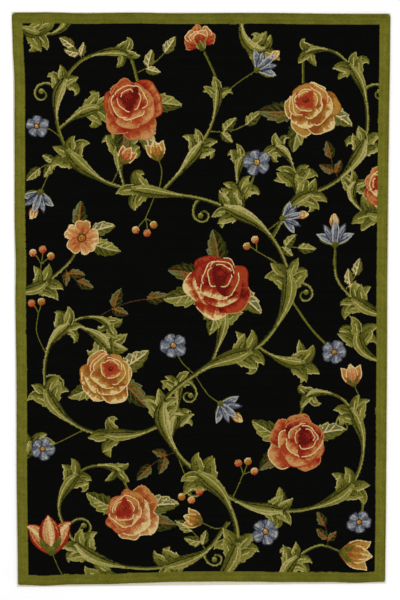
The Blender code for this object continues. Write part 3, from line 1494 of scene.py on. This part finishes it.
class Hooking:
    """Works out where each loop goes, and which patch it belongs to."""

    OUTSIDE = -1
    GROUND = 0
    BORDER = 1
    FIRST_PATCH = 2
    INNER = 9
    SPARE = 0.01  # how far the grid of cells reaches past the pile
    FILL_STEP = 0.001

    def __init__(self, edge: Points, border: float) -> None:
        """Lays out the cloth.

        Args:
            edge: the outline of the pile.
            border: the width of the border.
        """
        self.edge, self.border = edge, border
        self.low, self.high = edge.min(0), edge.max(0)
        self.origin = self.low - self.SPARE
        size = np.ceil((self.high + self.SPARE - self.origin) / CELL).astype(int)[::-1]
        self.labels = np.full(size, self.BORDER, np.int32)
        self.taken = np.zeros(size, bool)
        self.reach = int(CLOSEST / CELL)
        y, x = np.mgrid[-self.reach : self.reach + 1, -self.reach : self.reach + 1]
        self.disc = (x**2 + y**2) * CELL**2 < CLOSEST**2
        self.found: list[tuple] = []

    def cells(self, points: Points) -> Array:
        """The columns and the rows of the cells that hold points."""
        return np.floor((points - self.origin) / CELL).astype(int).T

    def cover(self, outline: Points, label: int) -> None:
        """Gives the inside of an outline to a patch, over whatever was there.

        Args:
            outline: a closed outline, which may cross itself.
            label: the patch's number.
        """
        points = (outline - self.origin) / CELL
        after = np.roll(points, -1, axis=0)
        high, wide = self.labels.shape
        first = max(0, math.ceil(points[:, 1].min() - 0.5))
        last = min(high - 1, math.floor(points[:, 1].max() - 0.5))
        for row in range(first, last + 1):
            y = row + 0.5
            up = (points[:, 1] <= y) & (after[:, 1] > y)
            hit = up | ((after[:, 1] <= y) & (points[:, 1] > y))
            a, b = points[hit], after[hit]
            x = a[:, 0] + (y - a[:, 1]) * (b[:, 0] - a[:, 0]) / (b[:, 1] - a[:, 1])
            order = x.argsort()
            turns = np.cumsum(np.where(up[hit], 1, -1)[order])
            ends = np.clip(np.ceil(x[order] - 0.5), 0, wide).astype(int)
            for i in np.nonzero(turns[:-1])[0]:
                self.labels[row, ends[i] : ends[i + 1]] = label

    def contour(self, outline: Points, deepest: float = 1.0) -> Iterator[tuple[Points, Array, int]]:
        """Goes round inside an outline, row by row.

        Args:
            outline: a closed outline.
            deepest: how far in the last row may lie.

        Yields:
            The places of a row's loops, their headings, and the row's number from the rim.
        """
        rim = resample_ring(outline, 0.0015)
        after = np.roll(rim, -1, axis=0)
        turn = 1 if (rim[:, 0] * after[:, 1] - after[:, 0] * rim[:, 1]).sum() > 0 else -1
        for row in range(int(deepest / ROW + 0.5)):
            depth = (row + 0.5) * ROW
            line = resample_ring(inset(rim, turn * depth), STITCH)
            keep = depths(line, rim) > depth - 0.25 * ROW
            if not keep.any():
                return
            yield line[keep], angles(ring_steps(line))[keep], row

    def strokes(self, patch: Patch) -> Iterator[tuple[Points, Array, int]]:
        """Goes along a line that is a few loops wide, row by row.

        Args:
            patch: the line.

        Yields:
            The places of a row's loops, their headings, and the row's number.
        """
        side = left_of(tangents(patch.spine))
        for i in range(patch.rows):
            line = resample(patch.spine + side * (i - (patch.rows - 1) / 2) * ROW, STITCH)
            yield line, angles(tangents(line)), i

    def lay(self, points: Points, headings: Array, label: int | None, rank: int = INNER) -> None:
        """Hooks a loop at each place that is on its patch and free.

        Args:
            points: the places.
            headings: the direction of the row at each place.
            label: the patch's number, or None for whatever patch is there.
            rank: the row from the rug's edge.
        """
        reach, taken, labels = self.reach, self.taken, self.labels
        columns, rows = self.cells(points)
        inside = (columns > reach) & (columns < taken.shape[1] - reach - 1)
        inside &= (rows > reach) & (rows < taken.shape[0] - reach - 1)
        for k in np.nonzero(inside)[0]:
            x, y = columns[k], rows[k]
            if taken[y, x] or (label is not None and labels[y, x] != label):
                continue
            taken[y - reach : y + reach + 1, x - reach : x + reach + 1] |= self.disc
            self.found.append((points[k, 0], points[k, 1], headings[k], int(labels[y, x]), rank))

    def draw(self, patches: list[Patch]) -> None:
        """Marks the ground inside the border, and the patches on it.

        Args:
            patches: the design, the lowest patch first.
        """
        rim = resample_ring(self.edge, 0.004)
        wobble = 1 + 0.045 * streaks(rim[:, 0] * 9, rim[:, 1] * 13)
        inner = inset(rim, self.border * wobble)
        self.cover(inner[depths(inner, rim) > self.border * 0.93], self.GROUND)
        border = self.labels == self.BORDER
        for label, patch in enumerate(patches, start=self.FIRST_PATCH):
            self.cover(patch.outline, label)
        self.labels[border] = self.BORDER

    def lay_ground(self) -> None:
        """Hooks the ground in straight rows, each half a stitch from the last."""
        for i, y in enumerate(np.arange(self.low[1], self.high[1], ROW)):
            x = np.arange(self.low[0] + (i % 2) * STITCH / 2, self.high[0], STITCH)
            drift = 0.0006 * np.sin(x * 7 + 0.9 * math.sin(y * 5))
            self.lay(np.stack([x, y + drift], 1), np.zeros(len(x)), self.GROUND)

    def fill_gaps(self, rng: np.random.Generator) -> None:
        """Hooks a loop wherever there is room for one inside the pile's edge.

        Args:
            rng: for the headings of these loops.
        """
        labels = self.labels.copy()
        # The mark goes on the inside of the edge first, and is then turned round.
        self.cover(self.edge - np.sign(self.edge) * ROW * 0.5, self.OUTSIDE)
        self.labels = np.where(self.labels == self.OUTSIDE, labels, self.OUTSIDE)
        for i in range(16):
            starts = self.low + self.FILL_STEP * np.array([i % 4, i // 4])
            grid = [np.arange(start, end, 4 * self.FILL_STEP) for start, end in zip(starts, self.high)]
            points = np.stack([axis.ravel() for axis in np.meshgrid(*grid)], 1)
            columns, rows = self.cells(points)
            free = (self.labels[rows, columns] != self.OUTSIDE) & ~self.taken[rows, columns]
            self.lay(points[free], rng.uniform(0, np.pi, int(free.sum())), None)

    def loops(self, patches: list[Patch], seed: int) -> Loops:
        """Hooks the whole rug: its two outer rows, the design, the rest of the border, the ground, the gaps.

        Args:
            patches: the design, the lowest patch first.
            seed: for the unevenness of the yarns.

        Returns:
            Every loop.
        """
        rng = np.random.default_rng(seed)
        for points, headings, row in self.contour(self.edge, 2 * ROW):
            self.lay(points, headings, None, row)
        self.draw(patches)
        for label, patch in reversed(list(enumerate(patches, start=self.FIRST_PATCH))):
            for points, headings, _ in self.strokes(patch) if patch.rows else self.contour(patch.outline):
                self.lay(points, headings, label)
        for points, headings, row in self.contour(self.edge, self.border):
            self.lay(points, headings, self.BORDER, row)
        self.lay_ground()
        self.fill_gaps(rng)
        return self.dyed(patches, rng)

    def dyed(self, patches: list[Patch], rng: np.random.Generator) -> Loops:
        """Gives each loop its yarn, and the border's loops a painted shade by the way their rows run.

        Args:
            patches: the design, the lowest patch first.
            rng: for the unevenness of the yarns.

        Returns:
            Every loop.
        """
        found = np.array(self.found)
        at, heading = found[:, :2], found[:, 2]
        labels, rank = found[:, 3:].astype(int).T
        order = list(Kind)
        kinds = [Kind.GROUND, Kind.BORDER, *(patch.kind for patch in patches)]
        kind = np.array([order.index(k) for k in kinds])[labels]
        colour = np.tile(Yarn.INK.linear, (len(at), 1))
        on_border = labels == self.BORDER
        colour[on_border] = Yarn.BORDER.linear
        for label, patch in enumerate(patches, start=self.FIRST_PATCH):
            mine = labels == label
            if mine.any():
                colour[mine] = patch.colours(at[mine], rng)
        x, y = at.T
        row_tone_and_lay_shade = rng.normal(1, 0.05, 64)[rank % 64]
        row_tone_and_lay_shade *= 1 + 0.08 * streaks(x * 14 + 1, y * 11) + 0.09 * streaks(y * 37, x * 29)
        # Painted shade: border rows that run along x are darker, and rows that run along y lighter, as light
        # falls on their loops
        row_tone_and_lay_shade *= 0.90 + 0.12 * np.abs(np.sin(heading))
        ground_tone = rng.normal(1, 0.06, 4096)[np.round(y / ROW).astype(int) % 4096]
        tone = np.where(on_border, row_tone_and_lay_shade, np.where(labels == self.GROUND, ground_tone, 1.0))
        colour = colour * (tone * rng.normal(1, 0.075, len(at)))[:, None]
        return Loops(at, heading, kind, np.clip(colour, 0, 1), rank)


# Nodes


def adding(operation: str, reflected: bool = False) -> Callable[..., "Wire"]:
    """Makes a method of Wire that adds a Math node.

    Args:
        operation: what the node works out.
        reflected: whether its values come in the other order.

    Returns:
        The method.
    """

    def method(self: "Wire", *others: "Input") -> "Wire":
        """Adds the node."""
        values = (self, *others)
        return self.bench.maths(operation, *(values[::-1] if reflected else values))

    return method


class Wire:
    """A node's output. Python's arithmetic on it adds Math nodes to its tree."""

    def __init__(self, bench: "Bench", socket: bpy.types.NodeSocket) -> None:
        """Wraps a socket of the bench's tree."""
        self.bench, self.socket = bench, socket

    __add__ = adding("ADD")
    __radd__ = adding("ADD", reflected=True)
    __sub__ = adding("SUBTRACT")
    __rsub__ = adding("SUBTRACT", reflected=True)
    __mul__ = adding("MULTIPLY")
    __rmul__ = adding("MULTIPLY", reflected=True)
    __truediv__ = adding("DIVIDE")
    __pow__ = adding("POWER")
    __mod__ = adding("FLOORED_MODULO")
    __lt__ = adding("LESS_THAN")
    sine = adding("SINE")
    size = adding("ABSOLUTE")
    whole = adding("FLOOR")


Input = float | tuple | str | Wire


class Bench:
    """A node tree that nodes are added to, for a material or for geometry."""

    def __init__(self, tree: bpy.types.NodeTree) -> None:
        """Works on a tree."""
        self.tree = tree

    def feed(self, node: bpy.types.Node, inputs: dict[str | int, Input]) -> None:
        """Gives inputs of a node their values or links.

        Args:
            node: the node.
            inputs: a value or a link for each input's name or number.
        """
        for name, value in inputs.items():
            if isinstance(value, Wire):
                self.tree.links.new(value.socket, node.inputs[name])
            else:
                node.inputs[name].default_value = value

    def add(self, kind: str, settings: dict | None = None, inputs: dict | None = None) -> bpy.types.Node:
        """Adds a node.

        Args:
            kind: the node's type.
            settings: its own settings, which are set first.
            inputs: the value or the link of each input.

        Returns:
            The node.
        """
        node = self.tree.nodes.new(kind)
        for name, value in (settings or {}).items():
            setattr(node, name, value)
        self.feed(node, inputs or {})
        return node

    def wire(
        self, kind: str, settings: dict | None = None, inputs: dict | None = None, output: str | int = 0
    ) -> Wire:
        """Adds a node as add does, and wraps one of its outputs."""
        return Wire(self, self.add(kind, settings, inputs).outputs[output])

    def maths(self, operation: str, *values: Input) -> Wire:
        """Adds a Math node."""
        return self.wire("ShaderNodeMath", {"operation": operation}, dict(enumerate(values)))

    def parts(self, vector: Wire) -> tuple[Wire, ...]:
        """The three numbers of a vector."""
        split = self.add("ShaderNodeSeparateXYZ", inputs={0: vector})
        return tuple(Wire(self, output) for output in split.outputs)

    def vector(self, *values: Input) -> Wire:
        """A vector of three numbers."""
        return self.wire("ShaderNodeCombineXYZ", inputs=dict(enumerate(values)))

    def noise(self, vector: Wire, scale: float, detail: float = 2.0, rough: float = 0.5) -> Wire:
        """Smooth noise about 0, mostly between -1 and 1."""
        inputs = {"Vector": vector, "Scale": scale, "Detail": detail, "Roughness": rough}
        return (self.wire("ShaderNodeTexNoise", inputs=inputs) - 0.5) * 3.2

    def tinted(self, colour: Input, factor: Wire) -> Wire:
        """A colour made lighter or darker by a factor."""
        return self.wire("ShaderNodeVectorMath", {"operation": "SCALE"}, {0: colour, "Scale": factor})


class Paint(Bench):
    """The node tree of a new material."""

    def __init__(self, name: str, plain: dict[str, Input]) -> None:
        """Makes the material.

        Args:
            name: its name.
            plain: the shader's values that are the same all over.
        """
        self.material = bpy.data.materials.new(name)
        self.material.use_nodes = True
        super().__init__(self.material.node_tree)
        self.shader = self.tree.nodes["Principled BSDF"]
        self.feed(self.shader, plain)

    def vary(self, colour: Wire, roughness: Wire, height: Wire, depth: float) -> bpy.types.Material:
        """Feeds the shader what changes over the surface.

        Args:
            colour: its colour.
            roughness: its roughness.
            height: its height, in shares of a depth.
            depth: that depth.

        Returns:
            The material.
        """
        bump = self.wire("ShaderNodeBump", inputs={"Strength": 1.0, "Distance": depth, "Height": height})
        self.feed(self.shader, {"Base Color": colour, "Roughness": roughness, "Normal": bump})
        return self.material


@dataclass(frozen=True)
class WoolFinish:
    """Matt two-ply wool. The colour of each loop is in the mesh, and so is the place on its bead."""

    dye_scale: float = 11.0
    fibre_scale: float = 1500.0
    plies: float = 3.4
    twist: float = 1.3
    ply_depth: float = 0.00035
    dye_share: float = 0.05
    fibre_share: float = 0.10
    # How much painted shade darkens the grooves between the plies
    ply_share: float = 0.13
    # How much painted shade darkens each bead towards its foot, in the valleys between the loops
    shade_share: float = 0.30

    def material(self) -> bpy.types.Material:
        """Makes the material.

        Returns:
            The material.
        """
        paint = Paint("hooked_wool", {"Metallic": 0.0, "Specular IOR Level": 0.02})
        yarn = paint.wire("ShaderNodeAttribute", {"attribute_name": "yarn"}, output="Color")
        bead = paint.wire("ShaderNodeAttribute", {"attribute_name": "bead"}, output="Vector")
        place = paint.wire("ShaderNodeTexCoord", output="Object")
        x, y, z = paint.parts(bead)
        fibre = paint.noise(place, self.fibre_scale, 3.0, 0.6)
        dye = paint.noise(place, self.dye_scale)
        ply = ((x * self.plies + y * self.twist + z * 0.5 + fibre * 0.05) * math.pi).sine().size()
        # Painted shade: the colour is darker in the grooves between the plies
        groove_shade = (1 - ply) ** 2
        # Painted shade: each bead is darker towards its foot, where the loops crowd together
        shade = (1 - z) * self.shade_share
        factor = (1 + dye * self.dye_share) * (1 + fibre * self.fibre_share) * (1 - groove_shade * self.ply_share)
        colour = paint.tinted(yarn, factor * (1 - shade))
        return paint.vary(colour, 0.90 + fibre * 0.06, ply * 0.7 + fibre * 0.3, self.ply_depth)


@dataclass(frozen=True)
class CottonFinish:
    """Plain-woven cotton, with slubs in its threads and painted shade in the gaps between them."""

    name: str
    colour: tuple[float, float, float]
    pitch: float
    depth: float = 0.0003
    slub_share: float = 0.10
    # How much painted shade darkens the gaps between the threads
    gap_share: float = 0.25
    fine: float = 400.0  # how fast slubs change across a thread
    coarse: float = 25.0  # how fast they change along it

    def material(self) -> bpy.types.Material:
        """Makes the material.

        Returns:
            The material.
        """
        paint = Paint(self.name, {"Metallic": 0.0, "Specular IOR Level": 0.1})
        place = paint.wire("ShaderNodeTexCoord", output="Object")
        x, y, z = paint.parts(place)
        sway = paint.noise(place, 60.0) * 0.06
        u, v = x / self.pitch + sway, y / self.pitch - sway
        over = ((u.whole() + v.whole()) % 2.0) < 0.5
        warp = (u * math.pi).sine().size()
        weft = (v * math.pi).sine().size()
        thread = over * warp * (0.6 + weft * 0.4) + (1 - over) * weft * (0.6 + warp * 0.4)
        slub_along = paint.noise(paint.vector(x * self.fine, y * self.coarse, z), 1.0)
        slub_across = paint.noise(paint.vector(x * self.coarse, y * self.fine, z), 1.0)
        slub = over * slub_along + (1 - over) * slub_across
        stain = paint.noise(place, 5.0)
        # Painted shade: darker where the threads dip into the gaps between them
        factor = (1 - (1 - thread) ** 2 * self.gap_share) * (1 + slub * self.slub_share) * (1 + stain * 0.03)
        colour = paint.tinted(self.colour, factor)
        return paint.vary(colour, 0.88 + slub * 0.05, thread + slub * 0.15, self.depth)


@dataclass(frozen=True)
class FloorFinish:
    """A plain pale floor."""

    shade: float = 0.90

    def material(self) -> bpy.types.Material:
        """Makes the material."""
        grey = (self.shade, self.shade, self.shade, 1.0)
        plain = {"Base Color": grey, "Roughness": 0.85, "Specular IOR Level": 0.1}
        return Paint("pale_floor", plain).material


# Pieces


def new_object(name: str, data: bpy.types.ID) -> bpy.types.Object:
    """An object for a mesh, a lamp or a camera, in the scene."""
    made = bpy.data.objects.new(name, data)
    bpy.context.scene.collection.objects.link(made)
    return made


def new_piece(name: str, mesh: bpy.types.Mesh, slot: str, node: str) -> bpy.types.Object:
    """Makes a piece that rides on the rug's one body.

    Args:
        name: the piece's name.
        mesh: its mesh.
        slot: not used.
        node: the CAD node that it stands for.

    Returns:
        The piece.
    """
    made = new_object(name, mesh)
    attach(made, "root")
    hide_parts(node)
    LOG.info("%s: %d faces", name, len(mesh.polygons))
    return made


def places_of(mesh: bpy.types.Mesh) -> Array:
    """The places of a mesh's corners."""
    places = np.zeros(len(mesh.vertices) * 3, np.float32)
    mesh.vertices.foreach_get("co", places)
    return places.reshape(-1, 3)


def outline_at(node: str, height: float) -> Points:
    """The outline of a CAD cloth, counterclockwise.

    Args:
        node: the CAD node.
        height: the height of a ring of its corners.

    Returns:
        The outline.
    """
    places = places_of(frame["nodes"][node].data).astype(float)
    ring = places[np.abs(places[:, 2] - height) < 2e-5, :2]
    ring = np.unique(np.round(ring, 6), axis=0)
    return ring[angles(ring).argsort()]


@dataclass(frozen=True)
class Cloth:
    """A flat cloth with rounded rims: the backing, or the canvas that the loops go through."""

    name: str
    node: str
    slot: str
    low: float
    high: float
    cad_rim: float  # how high above the node's foot its outline is read
    finish: CottonFinish
    rim: float = 0.0004
    steps: int = 3
    sharp_from: float = math.radians(50)

    def build(self) -> bpy.types.Object:
        """Makes the cloth and dresses it.

        Returns:
            The piece.
        """
        outline = outline_at(self.node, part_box(self.node)[0].z + self.cad_rim)
        turns = [math.radians(90) * i / self.steps for i in range(self.steps + 1)]
        profile = [(self.rim * (1 - math.sin(a)), self.low + self.rim * (1 - math.cos(a))) for a in turns]
        profile += [(by, self.low + self.high - z) for by, z in reversed(profile)]
        count = len(outline)
        rings = [np.column_stack([inset(outline, by), np.full(count, z)]) for by, z in profile]
        top = (len(rings) - 1) * count
        faces = [
            (low + i, low + (i + 1) % count, low + count + (i + 1) % count, low + count + i)
            for low in range(0, top, count)
            for i in range(count)
        ]
        faces += [tuple(reversed(range(count))), tuple(range(top, top + count))]
        mesh = bpy.data.meshes.new(self.name)
        mesh.from_pydata(np.vstack(rings).tolist(), [], faces)
        mesh.shade_smooth()
        mesh.set_sharp_from_angle(angle=self.sharp_from)
        mesh.materials.append(self.finish.material())
        return new_piece(self.name, mesh, self.slot, self.node)


@dataclass(frozen=True)
class LoopShape:
    """The size of one loop's bead. A low one is the top of a loop, and a tall one is a loop at the edge."""

    length: float = 0.0049
    width: float = 0.0043
    height: float = 0.0023
    levels: int = 2
    crown: float = 0.42
    squareness: float = 2.2
    turn_jitter: float = math.radians(8)
    size_jitter: float = 0.07
    seed: int = 3


class LoopTree:
    """The Geometry Nodes tree that sets a bead of yarn on every point of a mesh.

    A bead is a box whose upper edges close to a short ridge. Each point says which way its bead heads, how
    tall it is and how far it leans.
    """

    INPUTS = {
        "NodeSocketFloat": "length width height crown squareness turn_jitter size_jitter",
        "NodeSocketInt": "levels seed",
        "NodeSocketMaterial": "finish",
    }

    def __init__(self) -> None:
        """Builds the tree and its named inputs."""
        self.tree = bpy.data.node_groups.new("yarn_loops", "GeometryNodeTree")
        self.bench = Bench(self.tree)
        face = self.tree.interface
        face.new_socket("places", in_out="INPUT", socket_type="NodeSocketGeometry")
        self.sockets = {
            name: face.new_socket(name, in_out="INPUT", socket_type=kind).identifier
            for kind, names in self.INPUTS.items()
            for name in names.split()
        }
        face.new_socket("loops", in_out="OUTPUT", socket_type="NodeSocketGeometry")
        self.inputs = self.bench.add("NodeGroupInput").outputs
        self.link()

    def given(self, name: str) -> Wire:
        """One of the tree's inputs."""
        return Wire(self.bench, self.inputs[name])

    def said(self, name: str) -> Wire:
        """A number that each point carries."""
        return self.bench.wire("GeometryNodeInputNamedAttribute", {"data_type": "FLOAT"}, {"Name": name})

    def chance(self, turn: int) -> Wire:
        """A random number between -1 and 1 for each point, another one for each turn."""
        inputs = {2: -1.0, 3: 1.0, "Seed": self.given("seed") + turn}
        return self.bench.wire("FunctionNodeRandomValue", {"data_type": "FLOAT"}, inputs, 1)

    def then(self, kind: str, geometry: Wire, settings: dict | None = None, **inputs: Input) -> Wire:
        """Adds a node that changes geometry."""
        return self.bench.wire(kind, settings, {"Geometry": geometry, **inputs})

    def bead(self) -> Wire:
        """Makes one bead of unit size that stands on its base, without a bottom.

        Returns:
            Its geometry.
        """
        bench = self.bench
        inputs = {"Size": (1, 1, 1), "Vertices Z": self.given("levels")}
        box = bench.wire("GeometryNodeMeshCube", inputs=inputs)
        x, y, z = bench.parts(bench.wire("GeometryNodeInputPosition"))
        z = z + 0.5
        narrow = (1 - z ** self.given("squareness")) ** 0.5
        crown = self.given("crown")
        place = bench.vector(x * (crown + (1 - crown) * narrow), y * narrow, z)
        moved = self.then("GeometryNodeSetPosition", box, Position=place)
        closed = self.then("GeometryNodeMergeByDistance", moved, Distance=0.01)
        down = bench.parts(bench.wire("GeometryNodeInputNormal"))[2] < -0.9
        bottomless = self.then("GeometryNodeDeleteGeometry", closed, {"domain": "FACE"}, Selection=down)
        vectors = {"data_type": "FLOAT_VECTOR", "domain": "POINT"}
        return self.then("GeometryNodeStoreNamedAttribute", bottomless, vectors, Name="bead", Value=place)

    def link(self) -> None:
        """Joins the bead, the points and the finish."""
        bench = self.bench
        jitter = self.given("turn_jitter")
        turn = bench.vector(
            self.said("lean") + self.chance(1) * jitter * 0.6,
            self.chance(2) * jitter * 0.6,
            self.said("heading") + self.chance(3) * jitter,
        )
        grow = self.given("size_jitter")
        size = bench.vector(
            self.given("length") * (1 + self.chance(4) * grow),
            self.given("width") * (1 + self.chance(5) * grow),
            self.given("height") * self.said("lift") * (1 + self.chance(6) * grow * 0.8),
        )
        inputs = {
            "Points": self.given("places"),
            "Instance": self.bead(),
            "Rotation": bench.wire("FunctionNodeEulerToRotation", inputs={0: turn}),
            "Scale": size,
        }
        placed = bench.wire("GeometryNodeInstanceOnPoints", inputs=inputs)
        rounded = self.then("GeometryNodeSetShadeSmooth", self.then("GeometryNodeRealizeInstances", placed))
        dressed = self.then("GeometryNodeSetMaterial", rounded, Material=self.given("finish"))
        bench.add("NodeGroupOutput", inputs={0: dressed})

    def grow(
        self, name: str, places: bpy.types.Mesh, shape: LoopShape, finish: bpy.types.Material
    ) -> bpy.types.Mesh:
        """Runs the tree over a mesh of points.

        Args:
            name: the name of the new mesh.
            places: the points, with heading, lean, lift and yarn on each.
            shape: the size of the beads.
            finish: their material.

        Returns:
            A plain mesh of all the beads.
        """
        holder = new_object(name + "_places", places)
        modifier = holder.modifiers.new("yarn_loops", "NODES")
        modifier.node_group = self.tree
        for key, value in {**vars(shape), "finish": finish}.items():
            modifier[self.sockets[key]] = value
        graph = bpy.context.evaluated_depsgraph_get()
        made = bpy.data.meshes.new_from_object(holder.evaluated_get(graph), depsgraph=graph)
        made.name = name
        holder.modifiers.remove(modifier)
        bpy.data.objects.remove(holder)
        return made


@dataclass
class Pile:
    """All the wool loops of the rug, as pieces of a size that the export can hold."""

    loops: Loops
    finish: WoolFinish = WoolFinish()
    inner: LoopShape = LoopShape()
    edge: LoopShape = LoopShape(length=0.0047, width=0.0041, height=PILE_TOP - CANVAS_TOP, levels=4)
    edge_lean: float = math.radians(7)
    lifts: tuple[float, ...] = (0.90, 0.97, 1.0)  # of the two outer rows, and of the rest
    sink: float = 0.0001
    map_margin: float = 0.002

    def places(self, chosen: Array, root: float) -> bpy.types.Mesh:
        """Makes the mesh of points that the tree works on.

        Args:
            chosen: the numbers of the loops.
            root: the height of their bases.

        Returns:
            A mesh of points that carry what the tree reads.
        """
        loops, count = self.loops, len(chosen)
        rank = np.minimum(loops.rank[chosen], len(self.lifts) - 1)
        mesh = bpy.data.meshes.new("places")
        mesh.vertices.add(count)
        points = np.column_stack([loops.at[chosen], np.full(count, root)])
        mesh.vertices.foreach_set("co", points.astype(np.float32).ravel())
        carried = {
            "heading": ("FLOAT", "value", loops.heading[chosen]),
            "lean": ("FLOAT", "value", np.where(rank == 0, self.edge_lean, 0.0)),
            "lift": ("FLOAT", "value", np.array(self.lifts)[rank]),
            "yarn": ("FLOAT_COLOR", "color", np.column_stack([loops.colour[chosen], np.ones(count)])),
        }
        for name, (kind, key, values) in carried.items():
            data = mesh.attributes.new(name, kind, "POINT").data
            data.foreach_set(key, values.astype(np.float32).ravel())
        return mesh

    def groups(self) -> Iterator[tuple[str, Array, LoopShape, float]]:
        """Splits the loops into pieces.

        Yields:
            A piece's name, its loops, their shape and the height of their bases.
        """
        edge = self.loops.rank <= 1
        yield "edge_loops", np.nonzero(edge)[0], self.edge, CANVAS_TOP
        for number, kind in enumerate(Kind):
            chosen = np.nonzero((self.loops.kind == number) & ~edge)[0]
            chosen = chosen[self.loops.at[chosen, 1].argsort(kind="stable")]
            parts = max(1, math.ceil(len(chosen) / MOST_LOOPS))
            for i, part in enumerate(np.array_split(chosen, parts)):
                name = f"{kind.value}_loops" + (f"_{i + 1}" if parts > 1 else "")
                yield name, part, self.inner, PILE_TOP - self.inner.height - self.sink

    def flat_map(self, mesh: bpy.types.Mesh) -> None:
        """Gives a piece a map that looks straight down on it.

        Args:
            mesh: the piece's mesh.
        """
        flat = places_of(mesh)[:, :2]
        low, high = flat.min(0), flat.max(0)
        corners = np.zeros(len(mesh.loops), np.int32)
        mesh.loops.foreach_get("vertex_index", corners)
        spots = self.map_margin + (1 - 2 * self.map_margin) * (flat - low) / (high - low)
        mesh.uv_layers.new(name="OFBake").data.foreach_set("uv", spots[corners].ravel())

    def build(self) -> list[bpy.types.Object]:
        """Makes every piece of the pile.

        Returns:
            The pieces.
        """
        tree, finish = LoopTree(), self.finish.material()
        made = []
        for name, chosen, shape, root in self.groups():
            mesh = tree.grow(name, self.places(chosen, root), shape, finish)
            for spare in {"heading", "lean", "lift"} & set(mesh.attributes.keys()):
                mesh.attributes.remove(mesh.attributes[spare])
            self.flat_map(mesh)
            made.append(new_piece(name, mesh, "wool_pile", "hooked_cloth"))
        return made


@dataclass(frozen=True)
class Rug:
    """The whole rug: its backing, its canvas, its design and its pile."""

    backing: Cloth = Cloth(
        "cotton_backing", "backing_cloth", "cotton_backing", 0.0, BACKING_TOP, BACKING_RIM,
        CottonFinish("backing_cotton", (0.74, 0.71, 0.56), 0.0011),
    )  # fmt: skip
    # The canvas is given a dark grey-brown: painted shade for the cotton that lies in shade under the pile
    canvas: Cloth = Cloth(
        "hooking_canvas", "hooked_cloth", "wool_pile", CANVAS_LOW, CANVAS_TOP, CANVAS_RIM,
        CottonFinish("foundation_canvas_painted_shade", (0.30, 0.28, 0.20), 0.0020),
    )  # fmt: skip
    design: FlowerField = FlowerField()
    seed: int = 11

    def flat_size(self, cloth: Cloth) -> tuple[float, float]:
        """The width and the length of a cloth that lies flat."""
        low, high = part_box(cloth.node)
        return high.x - low.x, high.y - low.y

    def build(self) -> None:
        """Makes every piece, and works out the width and the length of each cloth."""
        backing, canvas = self.backing.build(), self.canvas.build()
        patches = self.design.patches()
        LOG.info("design: %d patches", len(patches))
        edge = inset(outline_at("hooked_cloth", CANVAS_LOW + CANVAS_RIM), LOOP_MARGIN)
        loops = Hooking(edge, BORDER_WIDTH).loops(patches, self.seed)
        LOG.info("hooking: %d loops", len(loops.at))
        pile = Pile(loops).build()
        self.flat_size(self.backing)
        self.flat_size(self.canvas)


@dataclass(frozen=True)
class Studio:
    """The pale floor, the soft lights, and the camera that looks down on the rug."""

    floor_half: float = 30.0
    floor_top: float = -0.0003
    distance: float = 3.4
    tilt: float = math.radians(2.96)
    lens: float = 66.4
    aim: tuple[float, float, float] = (-0.0034, 0.0100, 0.004)
    sky: float = 0.83
    lamps: tuple = (("overhead", (-0.9, 1.3, 3.2), 2.6, 38.0), ("fill", (1.6, -1.4, 2.9), 2.6, 18.0))

    def floor(self) -> None:
        """Lays the floor."""
        mesh = bpy.data.meshes.new("floor")
        corners = ((-1, -1), (1, -1), (1, 1), (-1, 1))
        places = [(x * self.floor_half, y * self.floor_half, self.floor_top) for x, y in corners]
        mesh.from_pydata(places, [], [(0, 1, 2, 3)])
        mesh.materials.append(FloorFinish().material())
        new_object("floor", mesh)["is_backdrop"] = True

    def light(self) -> None:
        """Hangs the soft lights and sets the even light of the room."""
        world = bpy.data.worlds.new("room")
        world.use_nodes = True
        sky = {"Color": (1.0, 1.0, 1.0, 1.0), "Strength": self.sky}
        Bench(world.node_tree).feed(world.node_tree.nodes["Background"], sky)
        bpy.context.scene.world = world
        for name, place, size, watts in self.lamps:
            data = bpy.data.lights.new(name, "AREA")
            data.shape = "DISK"
            data.size = size
            data.energy = watts
            lamp = new_object(name, data)
            lamp.location = place
            lamp.rotation_euler = (-lamp.location.normalized()).to_track_quat("-Z", "Y").to_euler()

    def camera(self) -> None:
        """Sets the camera over the rug, leaning a little from the head of it."""
        data = bpy.data.cameras.new("camera")
        data.lens = self.lens
        made = new_object("camera", data)
        x, y, z = self.aim
        made.location = (x, y + self.distance * math.sin(self.tilt), z + self.distance * math.cos(self.tilt))
        made.rotation_euler = (-self.tilt, 0.0, 0.0)
        bpy.context.scene.camera = made

    def build(self) -> None:
        """Sets up the room, with plain colours in the picture."""
        self.floor()
        self.light()
        self.camera()
        bpy.context.scene.view_settings.view_transform = "Standard"


def write_size() -> None:
    """Logs the boxes of the CAD model and of the visual model."""
    boxes = {"cad": CAD_BOX, "visual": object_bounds()}
    plain = {name: [[round(v, 6) for v in corner] for corner in box] for name, box in boxes.items()}
    LOG.info("sizes: %s", plain)


def main() -> None:
    """Builds the studio and the rug."""
    logging.basicConfig(level=logging.INFO, format="%(name)s %(message)s")
    Studio().build()
    LOG.info("studio: done")
    Rug().build()
    write_size()


if __name__ == "__main__":
    main()
